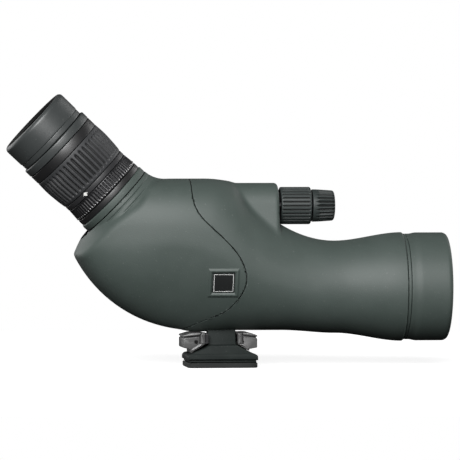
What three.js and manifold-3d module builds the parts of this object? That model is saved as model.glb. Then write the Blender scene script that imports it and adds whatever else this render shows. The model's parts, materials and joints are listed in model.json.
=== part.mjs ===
// Angled spotting scope: 50 mm objective, zoom eyepiece, two focus knobs and a tripod foot.
// Millimetres. +X points at the subject and +Z is up. The tripod screw's axis meets the sole at the origin.

import * as THREE from 'three';
import { ParametricGeometry } from 'three/addons/geometries/ParametricGeometry.js';
import { mergeVertices } from 'three/addons/utils/BufferGeometryUtils.js';
import Module from 'manifold-3d';

const wasm = await Module();
wasm.setup();

const { degToRad, lerp, smoothstep } = THREE.MathUtils;

// Clearances
const GAP = 0.3;                    // between neighbours that are fixed to each other, and at running fits
const SEAM = 0.35;                  // between the two armour skins

// Optical layout
const OPTICAL_AXIS_Z = 46.7;
const FOCUS_AXIS_Z = 94.6;
const EYEPIECE_TILT = degToRad(43.6);   // eyepiece axis above the horizontal
const CROSSING_X = -8.1;                // where the eyepiece axis meets the optical axis
const OBJECTIVE_RADIUS = 25;

// Body skin
const BODY_TOP = 110.6;
const BODY_BOTTOM = 21.3;
const BODY_HALF_WIDTH = 33;
const REAR_RADIUS = 80;             // round back of the prism housing, seen from the side
const REAR_CENTRE_X = -14.4;
const SHOULDER_RADIUS = 76.5;       // crowned face around the eyepiece neck
const SHOULDER_X = -14.7;
const SHOULDER_Z = 39.1;
const WAIST_X = 68;                 // slimmest place of the barrel
const WAIST_RADIUS = 27.25;
const BELL_WALLS = 7.1;             // objective cell, casing and skin together
const BELL_RADIUS = OBJECTIVE_RADIUS + BELL_WALLS;
const BARREL_FRONT_X = 107.7;
const CELL_DEPTH = 9.9;             // how far the objective cell reaches back into the barrel
const CELL_REAR_X = BARREL_FRONT_X - CELL_DEPTH;
const ARMOUR = 2;                   // skin thickness
const CASING = 1.7;                 // metal wall under the skin
const CASING_SPLIT_X = 40;

// Focus housing, an arch along the top of the body
const ARCH_RADIUS = 14.5;
const ARCH_RISE = 13.4;             // crown of the arch above the focus shaft
const ARCH_TOP = FOCUS_AXIS_Z + ARCH_RISE;
const ARCH_FOOT_Z = 60;
const ARCH_FOOT_HALF = 20.3;
const ARCH_FRONT_X = 33.8;
const ARCH_REAR_X = -12;

// Eyepiece rings: radii
const EYE_BARREL_RADIUS = 17;
const EYE_BARREL_WALL = 1.5;
const MOUNT_WALL = 3.7;
const MOUNT_RADIUS = EYE_BARREL_RADIUS + GAP + MOUNT_WALL;
const COLLAR_WALL = 2.8;
const COLLAR_RADIUS = MOUNT_RADIUS + GAP + COLLAR_WALL;
const BAND_RADIUS = COLLAR_RADIUS - 0.6;
const ZOOM_RADIUS = COLLAR_RADIUS + 0.1;
const EYECUP_RADIUS = COLLAR_RADIUS - 1;
const POST_RADIUS = EYE_BARREL_RADIUS + 2.2;
const EYECUP_SLEEVE_WALL = 1.5;

// Eyepiece rings: the collar's start is measured from the crossing of the two axes, and the rest stack on it.
const COLLAR_START = 73.6;
const COLLAR_LENGTH = 4.4;
const BAND_LENGTH = 3.5;
const LOCK_RING_LENGTH = 8;
const INDEX_BAND_LENGTH = 3.1;
const ZOOM_GRIP_LENGTH = 21.1;
const ZOOM_SCALE_LENGTH = 5.8;
const HEAD_LENGTH = 5.1;
const EYECUP_LENGTH = 17;
const POST_LENGTH = 10.9;
const NECK_DEPTH = 13.6;
const MOUNT_DEPTH = 15.6;
const BAND_START = COLLAR_START + COLLAR_LENGTH;
const LOCK_RING_START = BAND_START + BAND_LENGTH;
const INDEX_BAND_START = LOCK_RING_START + LOCK_RING_LENGTH;
const ZOOM_GRIP_START = INDEX_BAND_START + INDEX_BAND_LENGTH;
const ZOOM_SCALE_START = ZOOM_GRIP_START + ZOOM_GRIP_LENGTH;
const HEAD_START = ZOOM_SCALE_START + ZOOM_SCALE_LENGTH;
const EYECUP_START = HEAD_START + HEAD_LENGTH;
const EYECUP_END = EYECUP_START + EYECUP_LENGTH;

// Focus knobs
const COARSE_RADIUS = 11;
const COARSE_GAP = 1.5;             // between the arch's face and the coarse knob
const COARSE_START = ARCH_FRONT_X + COARSE_GAP;
const COARSE_LENGTH = 17.7;
const FINE_RADIUS = 9.55;
const FINE_LENGTH = 12.7;
const KNOB_GAP = 1.8;
const SHAFT_RADIUS = 3;
const SPINDLE_RADIUS = 1.5;
const BUSH_RADIUS = SHAFT_RADIUS + 2.9;
const REAR_BUSH_RADIUS = SPINDLE_RADIUS + 2.7;
const HUB_WALL = 2.5;

// Sunshade
const SUNSHADE_RADIUS = BELL_RADIUS - 0.2;
const SUNSHADE_WALL = 2.2;
const SUNSHADE_SEAT = 2.1;          // room for the stop ring behind the sunshade
const SUNSHADE_START = BARREL_FRONT_X + SUNSHADE_SEAT;
const SUNSHADE_LENGTH = 24.4;
const SUNSHADE_NOSE = 3.2;          // sunshade in front of the track's end
const TRACK_END = SUNSHADE_START + SUNSHADE_LENGTH - SUNSHADE_NOSE;

// Foot
const FOOT_HALF_LENGTH = 20.6;
const FOOT_HALF_WIDTH = 18;
const FOOT_TOP = 8.2;
const FLARE_INSET = 2.6;            // from the plate's end to where its flare starts
const FLARE_END = FOOT_HALF_LENGTH - FLARE_INSET;
const FLARE_STEP = 2;
const FLARE_STEP_Z = FOOT_TOP + 3.8;
const FLARE_TOP = FOOT_TOP + 5;
const PLATE_EDGE = 1.2;             // depth of the bevel along the plate's ends
const PAD_THICKNESS = 2.9;
const FOOT_NECK_REAR_X = -7.6;
const FOOT_NECK_FRONT_X = 8.7;
const FOOT_NECK_HALF_WIDTH = 8;
const SOCKET_RADIUS = 3.2;          // quarter-inch tripod thread
const INSERT_RADIUS = 5.5;
const SOCKET_DEPTH = 8.2;

// Focusing carriage
const CARRIAGE_X = 14;
const CARRIAGE_LENGTH = 8;
const CARRIAGE_RADIUS = 15;
const CARRIAGE_WALL = 2.2;
const NUT_RADIUS = SHAFT_RADIUS + 3.2;
const GUIDE_ROD_RADIUS = 1.3;
const GUIDE_ROD_Y = CARRIAGE_RADIUS + 2;
const GUIDE_ROD_Z = OPTICAL_AXIS_Z + 3;
const GUIDE_RING_X = 36;
const GUIDE_RING_LENGTH = 3.5;
const BULKHEAD_X = -1.8;
const BULKHEAD_THICKNESS = 2.5;
const LIGHT_HOLE_RADIUS = 11.5;     // through the bulkhead

// Facets around a full turn
const ROUND_LARGE = 24;
const ROUND_SMALL = 16;
const ROUND_PIN = 8;
const FAR = 300;                    // reaches past the whole scope

// ---------------------------------------------------------------- solids

// Keeps only positions, welds shared corners, drops collapsed triangles and points every face outward.
function closed(geometry) {
  const bare = geometry.clone();
  for (const name of Object.keys(bare.attributes)) {
    if (name !== 'position') {
      bare.deleteAttribute(name);
    }
  }
  const welded = mergeVertices(bare, 1e-4);
  const index = [];
  const corners = welded.index.array;
  for (let i = 0; i < corners.length; i += 3) {
    const [a, b, c] = [corners[i], corners[i + 1], corners[i + 2]];
    if (a !== b && b !== c && c !== a) {
      index.push(a, b, c);
    }
  }
  welded.setIndex(signedVolume(welded, index) < 0 ? index.reverse() : index);
  return welded;
}

function signedVolume(geometry, index) {
  const a = new THREE.Vector3();
  const b = new THREE.Vector3();
  const c = new THREE.Vector3();
  const place = geometry.attributes.position;
  let sum = 0;
  for (let i = 0; i < index.length; i += 3) {
    a.fromBufferAttribute(place, index[i]);
    b.fromBufferAttribute(place, index[i + 1]);
    c.fromBufferAttribute(place, index[i + 2]);
    sum += a.dot(b.cross(c)) / 6;
  }
  return sum;
}

function solid(geometry) {
  const shape = closed(geometry);
  const vertProperties = new Float32Array(shape.attributes.position.array);
  const triVerts = new Uint32Array(shape.index.array);
  return new wasm.Manifold(new wasm.Mesh({ numProp: 3, vertProperties, triVerts }));
}

function geometryOf(manifold) {
  const { vertProperties, triVerts } = manifold.getMesh();
  const geometry = new THREE.BufferGeometry();
  geometry.setAttribute('position', new THREE.BufferAttribute(vertProperties, 3));
  geometry.setIndex(new THREE.BufferAttribute(triVerts, 1));
  return geometry;
}

// Turned piece about the X axis through (0, 0, axisZ). Profile points are [along X, radius].
function turned(profile, facets = ROUND_LARGE, axisZ = 0) {
  const points = profile.map(([along, radius]) => new THREE.Vector2(radius, along));
  return new THREE.LatheGeometry(points, facets).rotateZ(-Math.PI / 2).translate(0, 0, axisZ);
}

// Plain ring about the X axis.
function ring(start, end, inner, outer, facets = ROUND_LARGE, axisZ = 0) {
  return turned([[start, inner], [end, inner], [end, outer], [start, outer], [start, inner]], facets, axisZ);
}

function rod(start, end, radius, facets = ROUND_SMALL, axisZ = 0) {
  return turned([[start, 0], [start, radius], [end, radius], [end, 0]], facets, axisZ);
}

// Outline in the XZ plane, given a thickness along Y.
function platedXZ(outline, halfWidth, y = 0, bevel = 0) {
  const shape = outline instanceof THREE.Shape ? outline : new THREE.Shape(outline);
  const depth = 2 * (halfWidth - bevel);
  const options = { depth, steps: 1, curveSegments: 6, bevelEnabled: bevel > 0, bevelSegments: 1 };
  options.bevelThickness = bevel;
  options.bevelSize = bevel;
  options.bevelOffset = -bevel;
  return new THREE.ExtrudeGeometry(shape, options).rotateX(Math.PI / 2).translate(0, y + depth / 2, 0);
}

const ALONG_X = new THREE.Matrix4().set(0, 0, 1, 0, 1, 0, 0, 0, 0, 1, 0, 0, 0, 0, 0, 1);

// Outline in the YZ plane, drawn out from startX to endX.
function drawnAlongX(shape, startX, endX, bevel = 0) {
  const options = { depth: endX - startX - 2 * bevel, steps: 1, curveSegments: 8, bevelEnabled: bevel > 0 };
  options.bevelSegments = 2;
  options.bevelThickness = bevel;
  options.bevelSize = bevel;
  options.bevelOffset = -bevel;
  return new THREE.ExtrudeGeometry(shape, options).applyMatrix4(ALONG_X).translate(startX + bevel, 0, 0);
}

function box(x0, x1, y0, y1, z0, z1) {
  const geometry = new THREE.BoxGeometry(x1 - x0, y1 - y0, z1 - z0);
  return geometry.translate((x0 + x1) / 2, (y0 + y1) / 2, (z0 + z1) / 2);
}

// ---------------------------------------------------------------- frames

// In the eyepiece frame local +X runs outward along the eyepiece axis, from the crossing of the two axes.
const eyepieceFrame = new THREE.Group();
eyepieceFrame.position.set(CROSSING_X, 0, OPTICAL_AXIS_Z);
eyepieceFrame.rotation.y = EYEPIECE_TILT - Math.PI;
eyepieceFrame.updateMatrix();

const scope = new THREE.Group();
scope.add(eyepieceFrame);

function inEyepieceFrame(geometry) {
  return geometry.clone().applyMatrix4(eyepieceFrame.matrix);
}

const finishes = {
  armour: { color: 0x5f6a65, roughness: 0.75, metalness: 0 },
  casting: { color: 0x3c3f40, roughness: 0.55, metalness: 0.6 },
  blackMetal: { color: 0x161718, roughness: 0.45, metalness: 0.5 },
  blackRubber: { color: 0x2b2c2e, roughness: 0.8, metalness: 0 },
  glossBlack: { color: 0x0d0e0f, roughness: 0.15, metalness: 0 },
  steel: { color: 0x9a9c9e, roughness: 0.3, metalness: 1 },
  greyCasting: { color: 0x77797b, roughness: 0.5, metalness: 0.8 },
  brass: { color: 0xb08d4a, roughness: 0.35, metalness: 1 },
  glass: { color: 0xb8d4cf, roughness: 0.05, metalness: 0 },
};

function add(name, shape, finish, parent = scope) {
  const geometry = shape instanceof THREE.BufferGeometry ? closed(shape) : geometryOf(shape);
  geometry.computeVertexNormals();
  const mesh = new THREE.Mesh(geometry, new THREE.MeshStandardMaterial(finishes[finish]));
  mesh.name = name;
  parent.add(mesh);
}

// ---------------------------------------------------------------- body skin

// Size of the upright cross-section at x, taken inward by inset.
function section(x, inset) {
  const rearRadius = REAR_RADIUS - inset;
  const rearCentreZ = BODY_BOTTOM + REAR_RADIUS;
  const behind = Math.max(REAR_CENTRE_X - x, 0);
  const flare = smoothstep(x, WAIST_X, BARREL_FRONT_X);
  const barrel = lerp(WAIST_RADIUS, BELL_RADIUS, flare) - inset;
  const toWaist = smoothstep(x, REAR_CENTRE_X, WAIST_X);
  const roundness = Math.max(1 - (behind / rearRadius) ** 2, 0);
  const humpFall = 0.0078 * Math.max(x + 9.3, 0) ** 2;
  const saddle = OPTICAL_AXIS_Z + WAIST_RADIUS + 0.0095 * Math.max(WAIST_X - x, 0) ** 2;
  const waistBottom = OPTICAL_AXIS_Z - WAIST_RADIUS;
  const underside = lerp(BODY_BOTTOM, waistBottom, smoothstep(x, 36, WAIST_X));
  const onBarrel = x >= WAIST_X;
  return {
    top: onBarrel ? OPTICAL_AXIS_Z + barrel : Math.min(BODY_TOP - humpFall, saddle) - inset,
    bottom: onBarrel ? OPTICAL_AXIS_Z - barrel
      : behind > 0 ? rearCentreZ - rearRadius * Math.sqrt(roundness) : underside + inset,
    widest: lerp(85, OPTICAL_AXIS_Z, smoothstep(x, -30, 60)),
    half: onBarrel ? barrel : (lerp(BODY_HALF_WIDTH, WAIST_RADIUS, toWaist) - inset) * roundness ** 0.4,
    topPower: lerp(lerp(2.6, 1.55, smoothstep(x, -9, 18)), 2, smoothstep(x, 25, 60)),
    bottomPower: lerp(lerp(2, 1.4, smoothstep(x, -80, -12)), 2, smoothstep(x, -12, 55)),
  };
}

function sectionPoint(x, inset, turn, target) {
  const { top, bottom, widest, half, topPower, bottomPower } = section(x, inset);
  const side = Math.cos(turn);
  const rise = Math.sin(turn);
  const power = 2 / (rise > 0 ? topPower : bottomPower);
  const middle = Math.min(Math.max(widest, bottom), top);
  const reach = rise > 0 ? top - middle : middle - bottom;
  const y = half * Math.sign(side) * Math.abs(side) ** power;
  return target.set(x, y, middle + reach * Math.sign(rise) * Math.abs(rise) ** power);
}

// The whole body taken inward by inset: a skin through upright sections, closed by a flat front at frontX.
function bodyHull(inset, frontX) {
  const rearSteps = 6;
  const middleSteps = 9;
  const flareSteps = 3;
  const around = 24;
  const stations = [];
  for (let i = 0; i <= rearSteps; i++) {
    const turn = (i / rearSteps) * Math.PI / 2;
    stations.push(REAR_CENTRE_X - (REAR_RADIUS - inset) * Math.cos(turn));
  }
  for (let i = 1; i <= middleSteps; i++) {
    stations.push(lerp(REAR_CENTRE_X, WAIST_X, i / middleSteps));
  }
  for (let i = 1; i <= flareSteps; i++) {
    stations.push(lerp(WAIST_X, CELL_REAR_X, i / flareSteps));
  }
  stations.push(BARREL_FRONT_X);
  if (frontX > BARREL_FRONT_X) {
    stations.push(frontX);
  }
  const last = stations.length;
  const surface = (u, v, target) => {
    const step = Math.round(v * last);
    if (step === last) {
      target.set(stations[last - 1], 0, OPTICAL_AXIS_Z);
    } else {
      const turn = (Math.round(u * around) % around) / around * 2 * Math.PI;
      sectionPoint(stations[step], inset, turn, target);
      target.y = Math.abs(target.y) < 1e-6 ? 0 : target.y;
    }
  };
  return solid(new ParametricGeometry(surface, around, last));
}

// Everything in front of the crowned shoulder face, which is round about a crosswise axis.
function inFrontOfShoulder(inset) {
  const radius = SHOULDER_RADIUS - inset;
  const outline = [];
  const steps = 8;
  for (let i = 0; i <= steps; i++) {
    const turn = degToRad(lerp(100, 175, i / steps));
    const z = SHOULDER_Z + radius * Math.sin(turn);
    outline.push(new THREE.Vector2(SHOULDER_X + radius * Math.cos(turn), z));
  }
  outline.push(new THREE.Vector2(outline[steps].x, -FAR));
  outline.push(new THREE.Vector2(FAR, -FAR));
  outline.push(new THREE.Vector2(FAR, FAR));
  outline.push(new THREE.Vector2(outline[0].x, FAR));
  return solid(platedXZ(outline, FAR));
}

function focusArch(inset) {
  const radius = ARCH_RADIUS - inset;
  const centreZ = ARCH_TOP - ARCH_RADIUS;
  const shape = new THREE.Shape();
  shape.moveTo(-(ARCH_FOOT_HALF - inset), ARCH_FOOT_Z);
  shape.lineTo(ARCH_FOOT_HALF - inset, ARCH_FOOT_Z);
  shape.lineTo(radius, centreZ);
  shape.absarc(0, centreZ, radius, 0, Math.PI, false);
  return solid(drawnAlongX(shape, ARCH_REAR_X, ARCH_FRONT_X - inset, inset > 0 ? 0 : ARMOUR));
}

function bodySolid(inset, frontX = BARREL_FRONT_X) {
  return bodyHull(inset, frontX).intersect(inFrontOfShoulder(inset)).add(focusArch(inset));
}

const OPEN_FRONT_X = BARREL_FRONT_X + 3;
const CASING_OUTER_INSET = ARMOUR + GAP;
const CASING_INNER_INSET = CASING_OUTER_INSET + CASING;
const outerBody = bodySolid(0);
const underArmour = bodySolid(ARMOUR, OPEN_FRONT_X);
const casingOuter = bodySolid(CASING_OUTER_INSET);
const interior = bodySolid(CASING_INNER_INSET, OPEN_FRONT_X);
const fitsInside = bodySolid(CASING_INNER_INSET + GAP);

// The neck around the eyepiece grows out of the shoulder.
const NECK_END = COLLAR_START - GAP;
const NECK_START = COLLAR_START - NECK_DEPTH;
const MOUNT_START = COLLAR_START - MOUNT_DEPTH;
const neckProfile = [
  [NECK_START, 0], [NECK_START, COLLAR_RADIUS + 2.3], [COLLAR_START - 4.6, COLLAR_RADIUS + 1.5],
  [NECK_END, COLLAR_RADIUS + 0.2], [NECK_END, 0],
];
const neck = solid(inEyepieceFrame(turned(neckProfile)));
const mountBore = solid(inEyepieceFrame(rod(MOUNT_START - 8, FAR, MOUNT_RADIUS + GAP, ROUND_LARGE)));
const collarRoom = solid(inEyepieceFrame(rod(NECK_END, FAR, COLLAR_RADIUS + GAP, ROUND_LARGE)));
const shaftHole = solid(rod(CARRIAGE_X, FAR, BUSH_RADIUS + GAP, ROUND_SMALL, FOCUS_AXIS_Z));

// Line where the rear skin laps to the front skin, seen from the side, moved off itself by distance.
function seamLine(distance) {
  const course = [
    [-17.2, 125], [-17.6, 108], [-13, 95], [-4, 82], [8.5, 67.5], [14.6, 58],
    [15.9, 51], [12.5, 41], [1, 31.6], [-11, 27], [-26, 20], [-44, 12],
  ];
  const curve = new THREE.CatmullRomCurve3(course.map(([x, z]) => new THREE.Vector3(x, 0, z)));
  const steps = 18;
  const points = [];
  for (let i = 0; i <= steps; i++) {
    const place = curve.getPoint(i / steps);
    const along = curve.getTangent(i / steps);
    points.push(new THREE.Vector2(place.x - along.z * distance, place.z + along.x * distance));
  }
  return points;
}

const rearSide = seamLine(0);
rearSide.push(new THREE.Vector2(-FAR, rearSide.at(-1).y), new THREE.Vector2(-FAR, rearSide[0].y));
const frontSide = seamLine(SEAM);
frontSide.push(new THREE.Vector2(frontSide.at(-1).x, -FAR), new THREE.Vector2(FAR, -FAR));
frontSide.push(new THREE.Vector2(FAR, FAR), new THREE.Vector2(frontSide[0].x, FAR));

// Two screws hold the foot: heads hidden above the tripod insert, shanks up into the casing.
const FOOT_SCREWS = [{ name: 'foot_screw_rear', x: -4.6 }, { name: 'foot_screw_front', x: 5.7 }];
const SCREW_RADIUS = 1.2;
const SCREW_HEAD_RADIUS = 2.2;
const SCREW_HEAD_HEIGHT = 1.9;
const screwHeadZ = SOCKET_DEPTH + 3 * GAP;
const screwEndZ = BODY_BOTTOM + CASING_INNER_INSET + 1;
function upright(radius, z0, z1, facets = ROUND_SMALL, x = 0) {
  return solid(rod(z0, z1, radius, facets).rotateY(-Math.PI / 2).translate(x, 0, 0));
}
function screwAt(x, room) {
  const headTop = screwHeadZ + SCREW_HEAD_HEIGHT + room;
  const head = upright(SCREW_HEAD_RADIUS + room, screwHeadZ - 3 * room, headTop, ROUND_PIN, x);
  return head.add(upright(SCREW_RADIUS + room, screwHeadZ, screwEndZ + room, ROUND_PIN, x));
}

const footRoom = solid(box(
  FOOT_NECK_REAR_X - GAP, FOOT_NECK_FRONT_X + GAP,
  -FOOT_NECK_HALF_WIDTH - GAP, FOOT_NECK_HALF_WIDTH + GAP, 0, BODY_BOTTOM + 15.4));

// Badge: a blank plate let into the skin of the right side.
const BADGE_CENTRE = [2.2, 49.2];
const BADGE_SIZE = [12.7, 11.3];
const BADGE_THICKNESS = 0.7;
function badgeColumn(margin) {
  const [x, z] = BADGE_CENTRE;
  const [halfX, halfZ] = BADGE_SIZE.map((size) => size / 2 + margin);
  return solid(box(x - halfX, x + halfX, -BODY_HALF_WIDTH - 5, -5, z - halfZ, z + halfZ));
}
const badgeRoom = badgeColumn(GAP).subtract(bodySolid(BADGE_THICKNESS + GAP));

const skin = outerBody.subtract(underArmour);
const rearArmour = skin.intersect(solid(platedXZ(rearSide, FAR)))
  .add(neck.subtract(underArmour))
  .subtract(mountBore).subtract(collarRoom).subtract(badgeRoom).subtract(footRoom);
add('rear_armour', rearArmour, 'armour');
const frontArmour = skin.intersect(solid(platedXZ(frontSide, FAR)))
  .subtract(shaftHole).subtract(footRoom);
add('front_armour', frontArmour, 'armour');
add('badge_plate', badgeColumn(0).intersect(outerBody).subtract(bodySolid(BADGE_THICKNESS)), 'blackMetal');

let casing = casingOuter.subtract(interior).subtract(mountBore).subtract(collarRoom).subtract(shaftHole);
for (const { x } of FOOT_SCREWS) {
  casing = casing.subtract(screwAt(x, GAP));
}
add('prism_housing', casing.intersect(solid(box(-FAR, CASING_SPLIT_X, -FAR, FAR, -FAR, FAR))), 'casting');
add('main_tube', casing.intersect(solid(box(CASING_SPLIT_X + GAP, FAR, -FAR, FAR, -FAR, FAR))), 'casting');

// ---------------------------------------------------------------- prism

const bulkheadHoles = [
  rod(-FAR, FAR, LIGHT_HOLE_RADIUS, ROUND_SMALL, OPTICAL_AXIS_Z),
  rod(-FAR, FAR, REAR_BUSH_RADIUS + GAP, ROUND_SMALL, FOCUS_AXIS_Z),
  ...[-1, 1].map((side) => rod(-FAR, FAR, GUIDE_ROD_RADIUS + GAP, ROUND_PIN, GUIDE_ROD_Z)
    .translate(0, side * GUIDE_ROD_Y, 0)),
];
const bulkheadSlab = solid(box(BULKHEAD_X, BULKHEAD_X + BULKHEAD_THICKNESS, -FAR, FAR, -FAR, FAR));
let bulkhead = bulkheadSlab.intersect(fitsInside);
for (const hole of bulkheadHoles) {
  bulkhead = bulkhead.subtract(solid(hole));
}
add('bulkhead', bulkhead, 'blackMetal');

// Roof prism: entry face upright, exit face square to the eyepiece axis, ridge along the third face.
const PRISM_FACE = 30;
const PRISM_HALF_WIDTH = 10;
const CHEEK_THICKNESS = 2;
const entryX = BULKHEAD_X - GAP;
const apexZ = OPTICAL_AXIS_Z + PRISM_FACE / 2;
const exitX = entryX - PRISM_FACE * Math.sin(EYEPIECE_TILT);
const exitZ = apexZ - PRISM_FACE * Math.cos(EYEPIECE_TILT);
const prismOutline = [
  new THREE.Vector2(entryX, apexZ),
  new THREE.Vector2(exitX, exitZ),
  new THREE.Vector2(entryX, apexZ - PRISM_FACE),
];
const ridgeMiddle = prismOutline[1].clone().add(prismOutline[2]).multiplyScalar(0.5);
const ridgeTurn = Math.atan2(prismOutline[2].y - exitZ, prismOutline[2].x - exitX);
const ridgeBar = new THREE.BoxGeometry(3 * PRISM_FACE, 2 * PRISM_FACE, 2 * PRISM_FACE).rotateX(Math.PI / 4);
ridgeBar.translate(0, 0, Math.SQRT2 * PRISM_FACE).rotateY(-ridgeTurn);
ridgeBar.translate(ridgeMiddle.x, 0, ridgeMiddle.y);
add('roof_prism', solid(platedXZ(prismOutline, PRISM_HALF_WIDTH)).intersect(solid(ridgeBar)), 'glass');
for (const [name, side] of [['prism_cheek_left', 1], ['prism_cheek_right', -1]]) {
  const y = side * (PRISM_HALF_WIDTH + GAP + CHEEK_THICKNESS / 2);
  add(name, solid(platedXZ(prismOutline, CHEEK_THICKNESS / 2, y)).intersect(fitsInside), 'blackMetal');
}

// ---------------------------------------------------------------- focusing

const shaftFrontX = COARSE_START + COARSE_LENGTH;
const fineStart = shaftFrontX + KNOB_GAP;
const bushRearX = ARCH_FRONT_X - CASING_INNER_INSET - 2.5;
const bushFrontX = ARCH_FRONT_X + 0.6;
const REAR_BUSH_LENGTH = 4.5;
const shaftRearX = CARRIAGE_X - 9;
const spindleFrontX = fineStart + 8;
const shaftBore = SHAFT_RADIUS + GAP;
const spindleBore = SPINDLE_RADIUS + GAP;
add('shaft_bush_front', ring(bushRearX, bushFrontX, shaftBore, BUSH_RADIUS,
  ROUND_SMALL, FOCUS_AXIS_Z), 'brass');
add('shaft_bush_rear', ring(BULKHEAD_X, BULKHEAD_X + REAR_BUSH_LENGTH, spindleBore, REAR_BUSH_RADIUS,
  ROUND_SMALL, FOCUS_AXIS_Z), 'brass');
add('coarse_shaft', ring(shaftRearX, shaftFrontX, spindleBore, SHAFT_RADIUS,
  ROUND_SMALL, FOCUS_AXIS_Z), 'steel');
add('fine_spindle', rod(BULKHEAD_X + 0.5, spindleFrontX, SPINDLE_RADIUS, ROUND_PIN, FOCUS_AXIS_Z), 'steel');

// A knob is a rubber grip over a metal hub, with rounded ends.
const coarseHubRadius = COARSE_RADIUS - HUB_WALL;
const COARSE_EDGE = 1.2;
add('coarse_hub', ring(COARSE_START + GAP, shaftFrontX - GAP, shaftBore, coarseHubRadius,
  ROUND_SMALL, FOCUS_AXIS_Z), 'blackMetal');
add('coarse_grip', turned([
  [COARSE_START, coarseHubRadius + GAP], [shaftFrontX, coarseHubRadius + GAP],
  [shaftFrontX, COARSE_RADIUS - COARSE_EDGE],
  [shaftFrontX - 0.3 * COARSE_EDGE, COARSE_RADIUS - 0.3 * COARSE_EDGE],
  [shaftFrontX - COARSE_EDGE, COARSE_RADIUS], [COARSE_START + COARSE_EDGE, COARSE_RADIUS],
  [COARSE_START, COARSE_RADIUS - COARSE_EDGE], [COARSE_START, coarseHubRadius + GAP],
], ROUND_LARGE, FOCUS_AXIS_Z), 'blackRubber');

// The fine knob's grip is a cap, closed at the front.
const fineHubRadius = FINE_RADIUS - HUB_WALL;
const fineEnd = fineStart + FINE_LENGTH;
const fineEndRadius = FINE_RADIUS - 0.75;
const FINE_CAP = 2;
const FINE_EDGE = 1.5;
const fineCapX = fineEnd - FINE_CAP + GAP;
add('fine_hub', ring(fineStart, fineEnd - FINE_CAP, spindleBore, fineHubRadius, ROUND_SMALL, FOCUS_AXIS_Z),
  'blackMetal');
add('fine_grip', turned([
  [fineStart, fineHubRadius + GAP], [fineCapX, fineHubRadius + GAP], [fineCapX, 0], [fineEnd, 0],
  [fineEnd, fineEndRadius - FINE_EDGE], [fineEnd - FINE_EDGE / 3, fineEndRadius - FINE_EDGE / 3],
  [fineEnd - FINE_EDGE, fineEndRadius], [fineStart + 1, FINE_RADIUS], [fineStart, FINE_RADIUS - 1],
  [fineStart, fineHubRadius + GAP],
], ROUND_LARGE, FOCUS_AXIS_Z), 'blackRubber');

// Carriage: a lens cell on two guide rods, hung by an arm from a nut on the coarse shaft's thread.
const carriageEnd = CARRIAGE_X + CARRIAGE_LENGTH;
const carriageBore = CARRIAGE_RADIUS - CARRIAGE_WALL;
const cellRing = solid(rod(CARRIAGE_X, carriageEnd, CARRIAGE_RADIUS, ROUND_SMALL, OPTICAL_AXIS_Z));
const ears = solid(box(CARRIAGE_X + 1, carriageEnd - 1, -GUIDE_ROD_Y - 2, GUIDE_ROD_Y + 2,
  GUIDE_ROD_Z - 2.6, GUIDE_ROD_Z + 2.6));
const arm = solid(box(CARRIAGE_X + 1.5, carriageEnd - 1.5, -3.5, 3.5,
  OPTICAL_AXIS_Z + CARRIAGE_RADIUS - 1, FOCUS_AXIS_Z - SHAFT_RADIUS - 1));
const nut = solid(rod(CARRIAGE_X, carriageEnd, NUT_RADIUS, ROUND_SMALL, FOCUS_AXIS_Z));
let carriage = cellRing.add(ears).add(arm).add(nut);
const carriageHoles = [
  rod(-FAR, FAR, carriageBore, ROUND_SMALL, OPTICAL_AXIS_Z),
  rod(-FAR, FAR, shaftBore, ROUND_SMALL, FOCUS_AXIS_Z),
  ...[-1, 1].map((side) => rod(-FAR, FAR, GUIDE_ROD_RADIUS + GAP, ROUND_PIN, GUIDE_ROD_Z)
    .translate(0, side * GUIDE_ROD_Y, 0)),
];
for (const hole of carriageHoles) {
  carriage = carriage.subtract(solid(hole));
}
add('focus_carriage', carriage, 'blackMetal');

// A lens between two faces that bulge by frontRise and rearRise from its rim.
function lens(rearX, rimThickness, radius, rearRise, frontRise, facets = ROUND_SMALL, axisZ = 0) {
  const steps = 3;
  const profile = [];
  for (let i = 0; i <= steps; i++) {
    const share = i / steps;
    profile.push([rearX - rearRise * (1 - share ** 2), radius * share]);
  }
  for (let i = steps; i >= 0; i--) {
    const share = i / steps;
    profile.push([rearX + rimThickness + frontRise * (1 - share ** 2), radius * share]);
  }
  return turned(profile, facets, axisZ);
}
const lensRadius = carriageBore - GAP;
const focusLensX = CARRIAGE_X + 2;
const FOCUS_LENS_RIM = 3.6;
const FOCUS_LENS_DISH = 0.9;
const focusingLens = lens(focusLensX, FOCUS_LENS_RIM, lensRadius, -FOCUS_LENS_DISH, -FOCUS_LENS_DISH,
  ROUND_SMALL, OPTICAL_AXIS_Z);
add('focusing_lens', focusingLens, 'glass');
add('focus_retainer', ring(focusLensX + FOCUS_LENS_RIM + GAP, carriageEnd - 0.5, lensRadius - 1.4, lensRadius,
  ROUND_SMALL, OPTICAL_AXIS_Z), 'blackMetal');

const guideRingEnd = GUIDE_RING_X + GUIDE_RING_LENGTH;
const guideRingTop = OPTICAL_AXIS_Z + CARRIAGE_RADIUS + 7;
const guideRing = solid(box(GUIDE_RING_X, guideRingEnd, -FAR, FAR, -FAR, guideRingTop))
  .intersect(fitsInside)
  .subtract(solid(rod(-FAR, FAR, CARRIAGE_RADIUS, ROUND_SMALL, OPTICAL_AXIS_Z)));
add('guide_ring', guideRing, 'blackMetal');
for (const [name, side] of [['guide_rod_left', 1], ['guide_rod_right', -1]]) {
  const bar = rod(BULKHEAD_X, GUIDE_RING_X - GAP, GUIDE_ROD_RADIUS, ROUND_PIN, GUIDE_ROD_Z);
  add(name, bar.translate(0, side * GUIDE_ROD_Y, 0), 'steel');
}

// ---------------------------------------------------------------- objective

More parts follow.
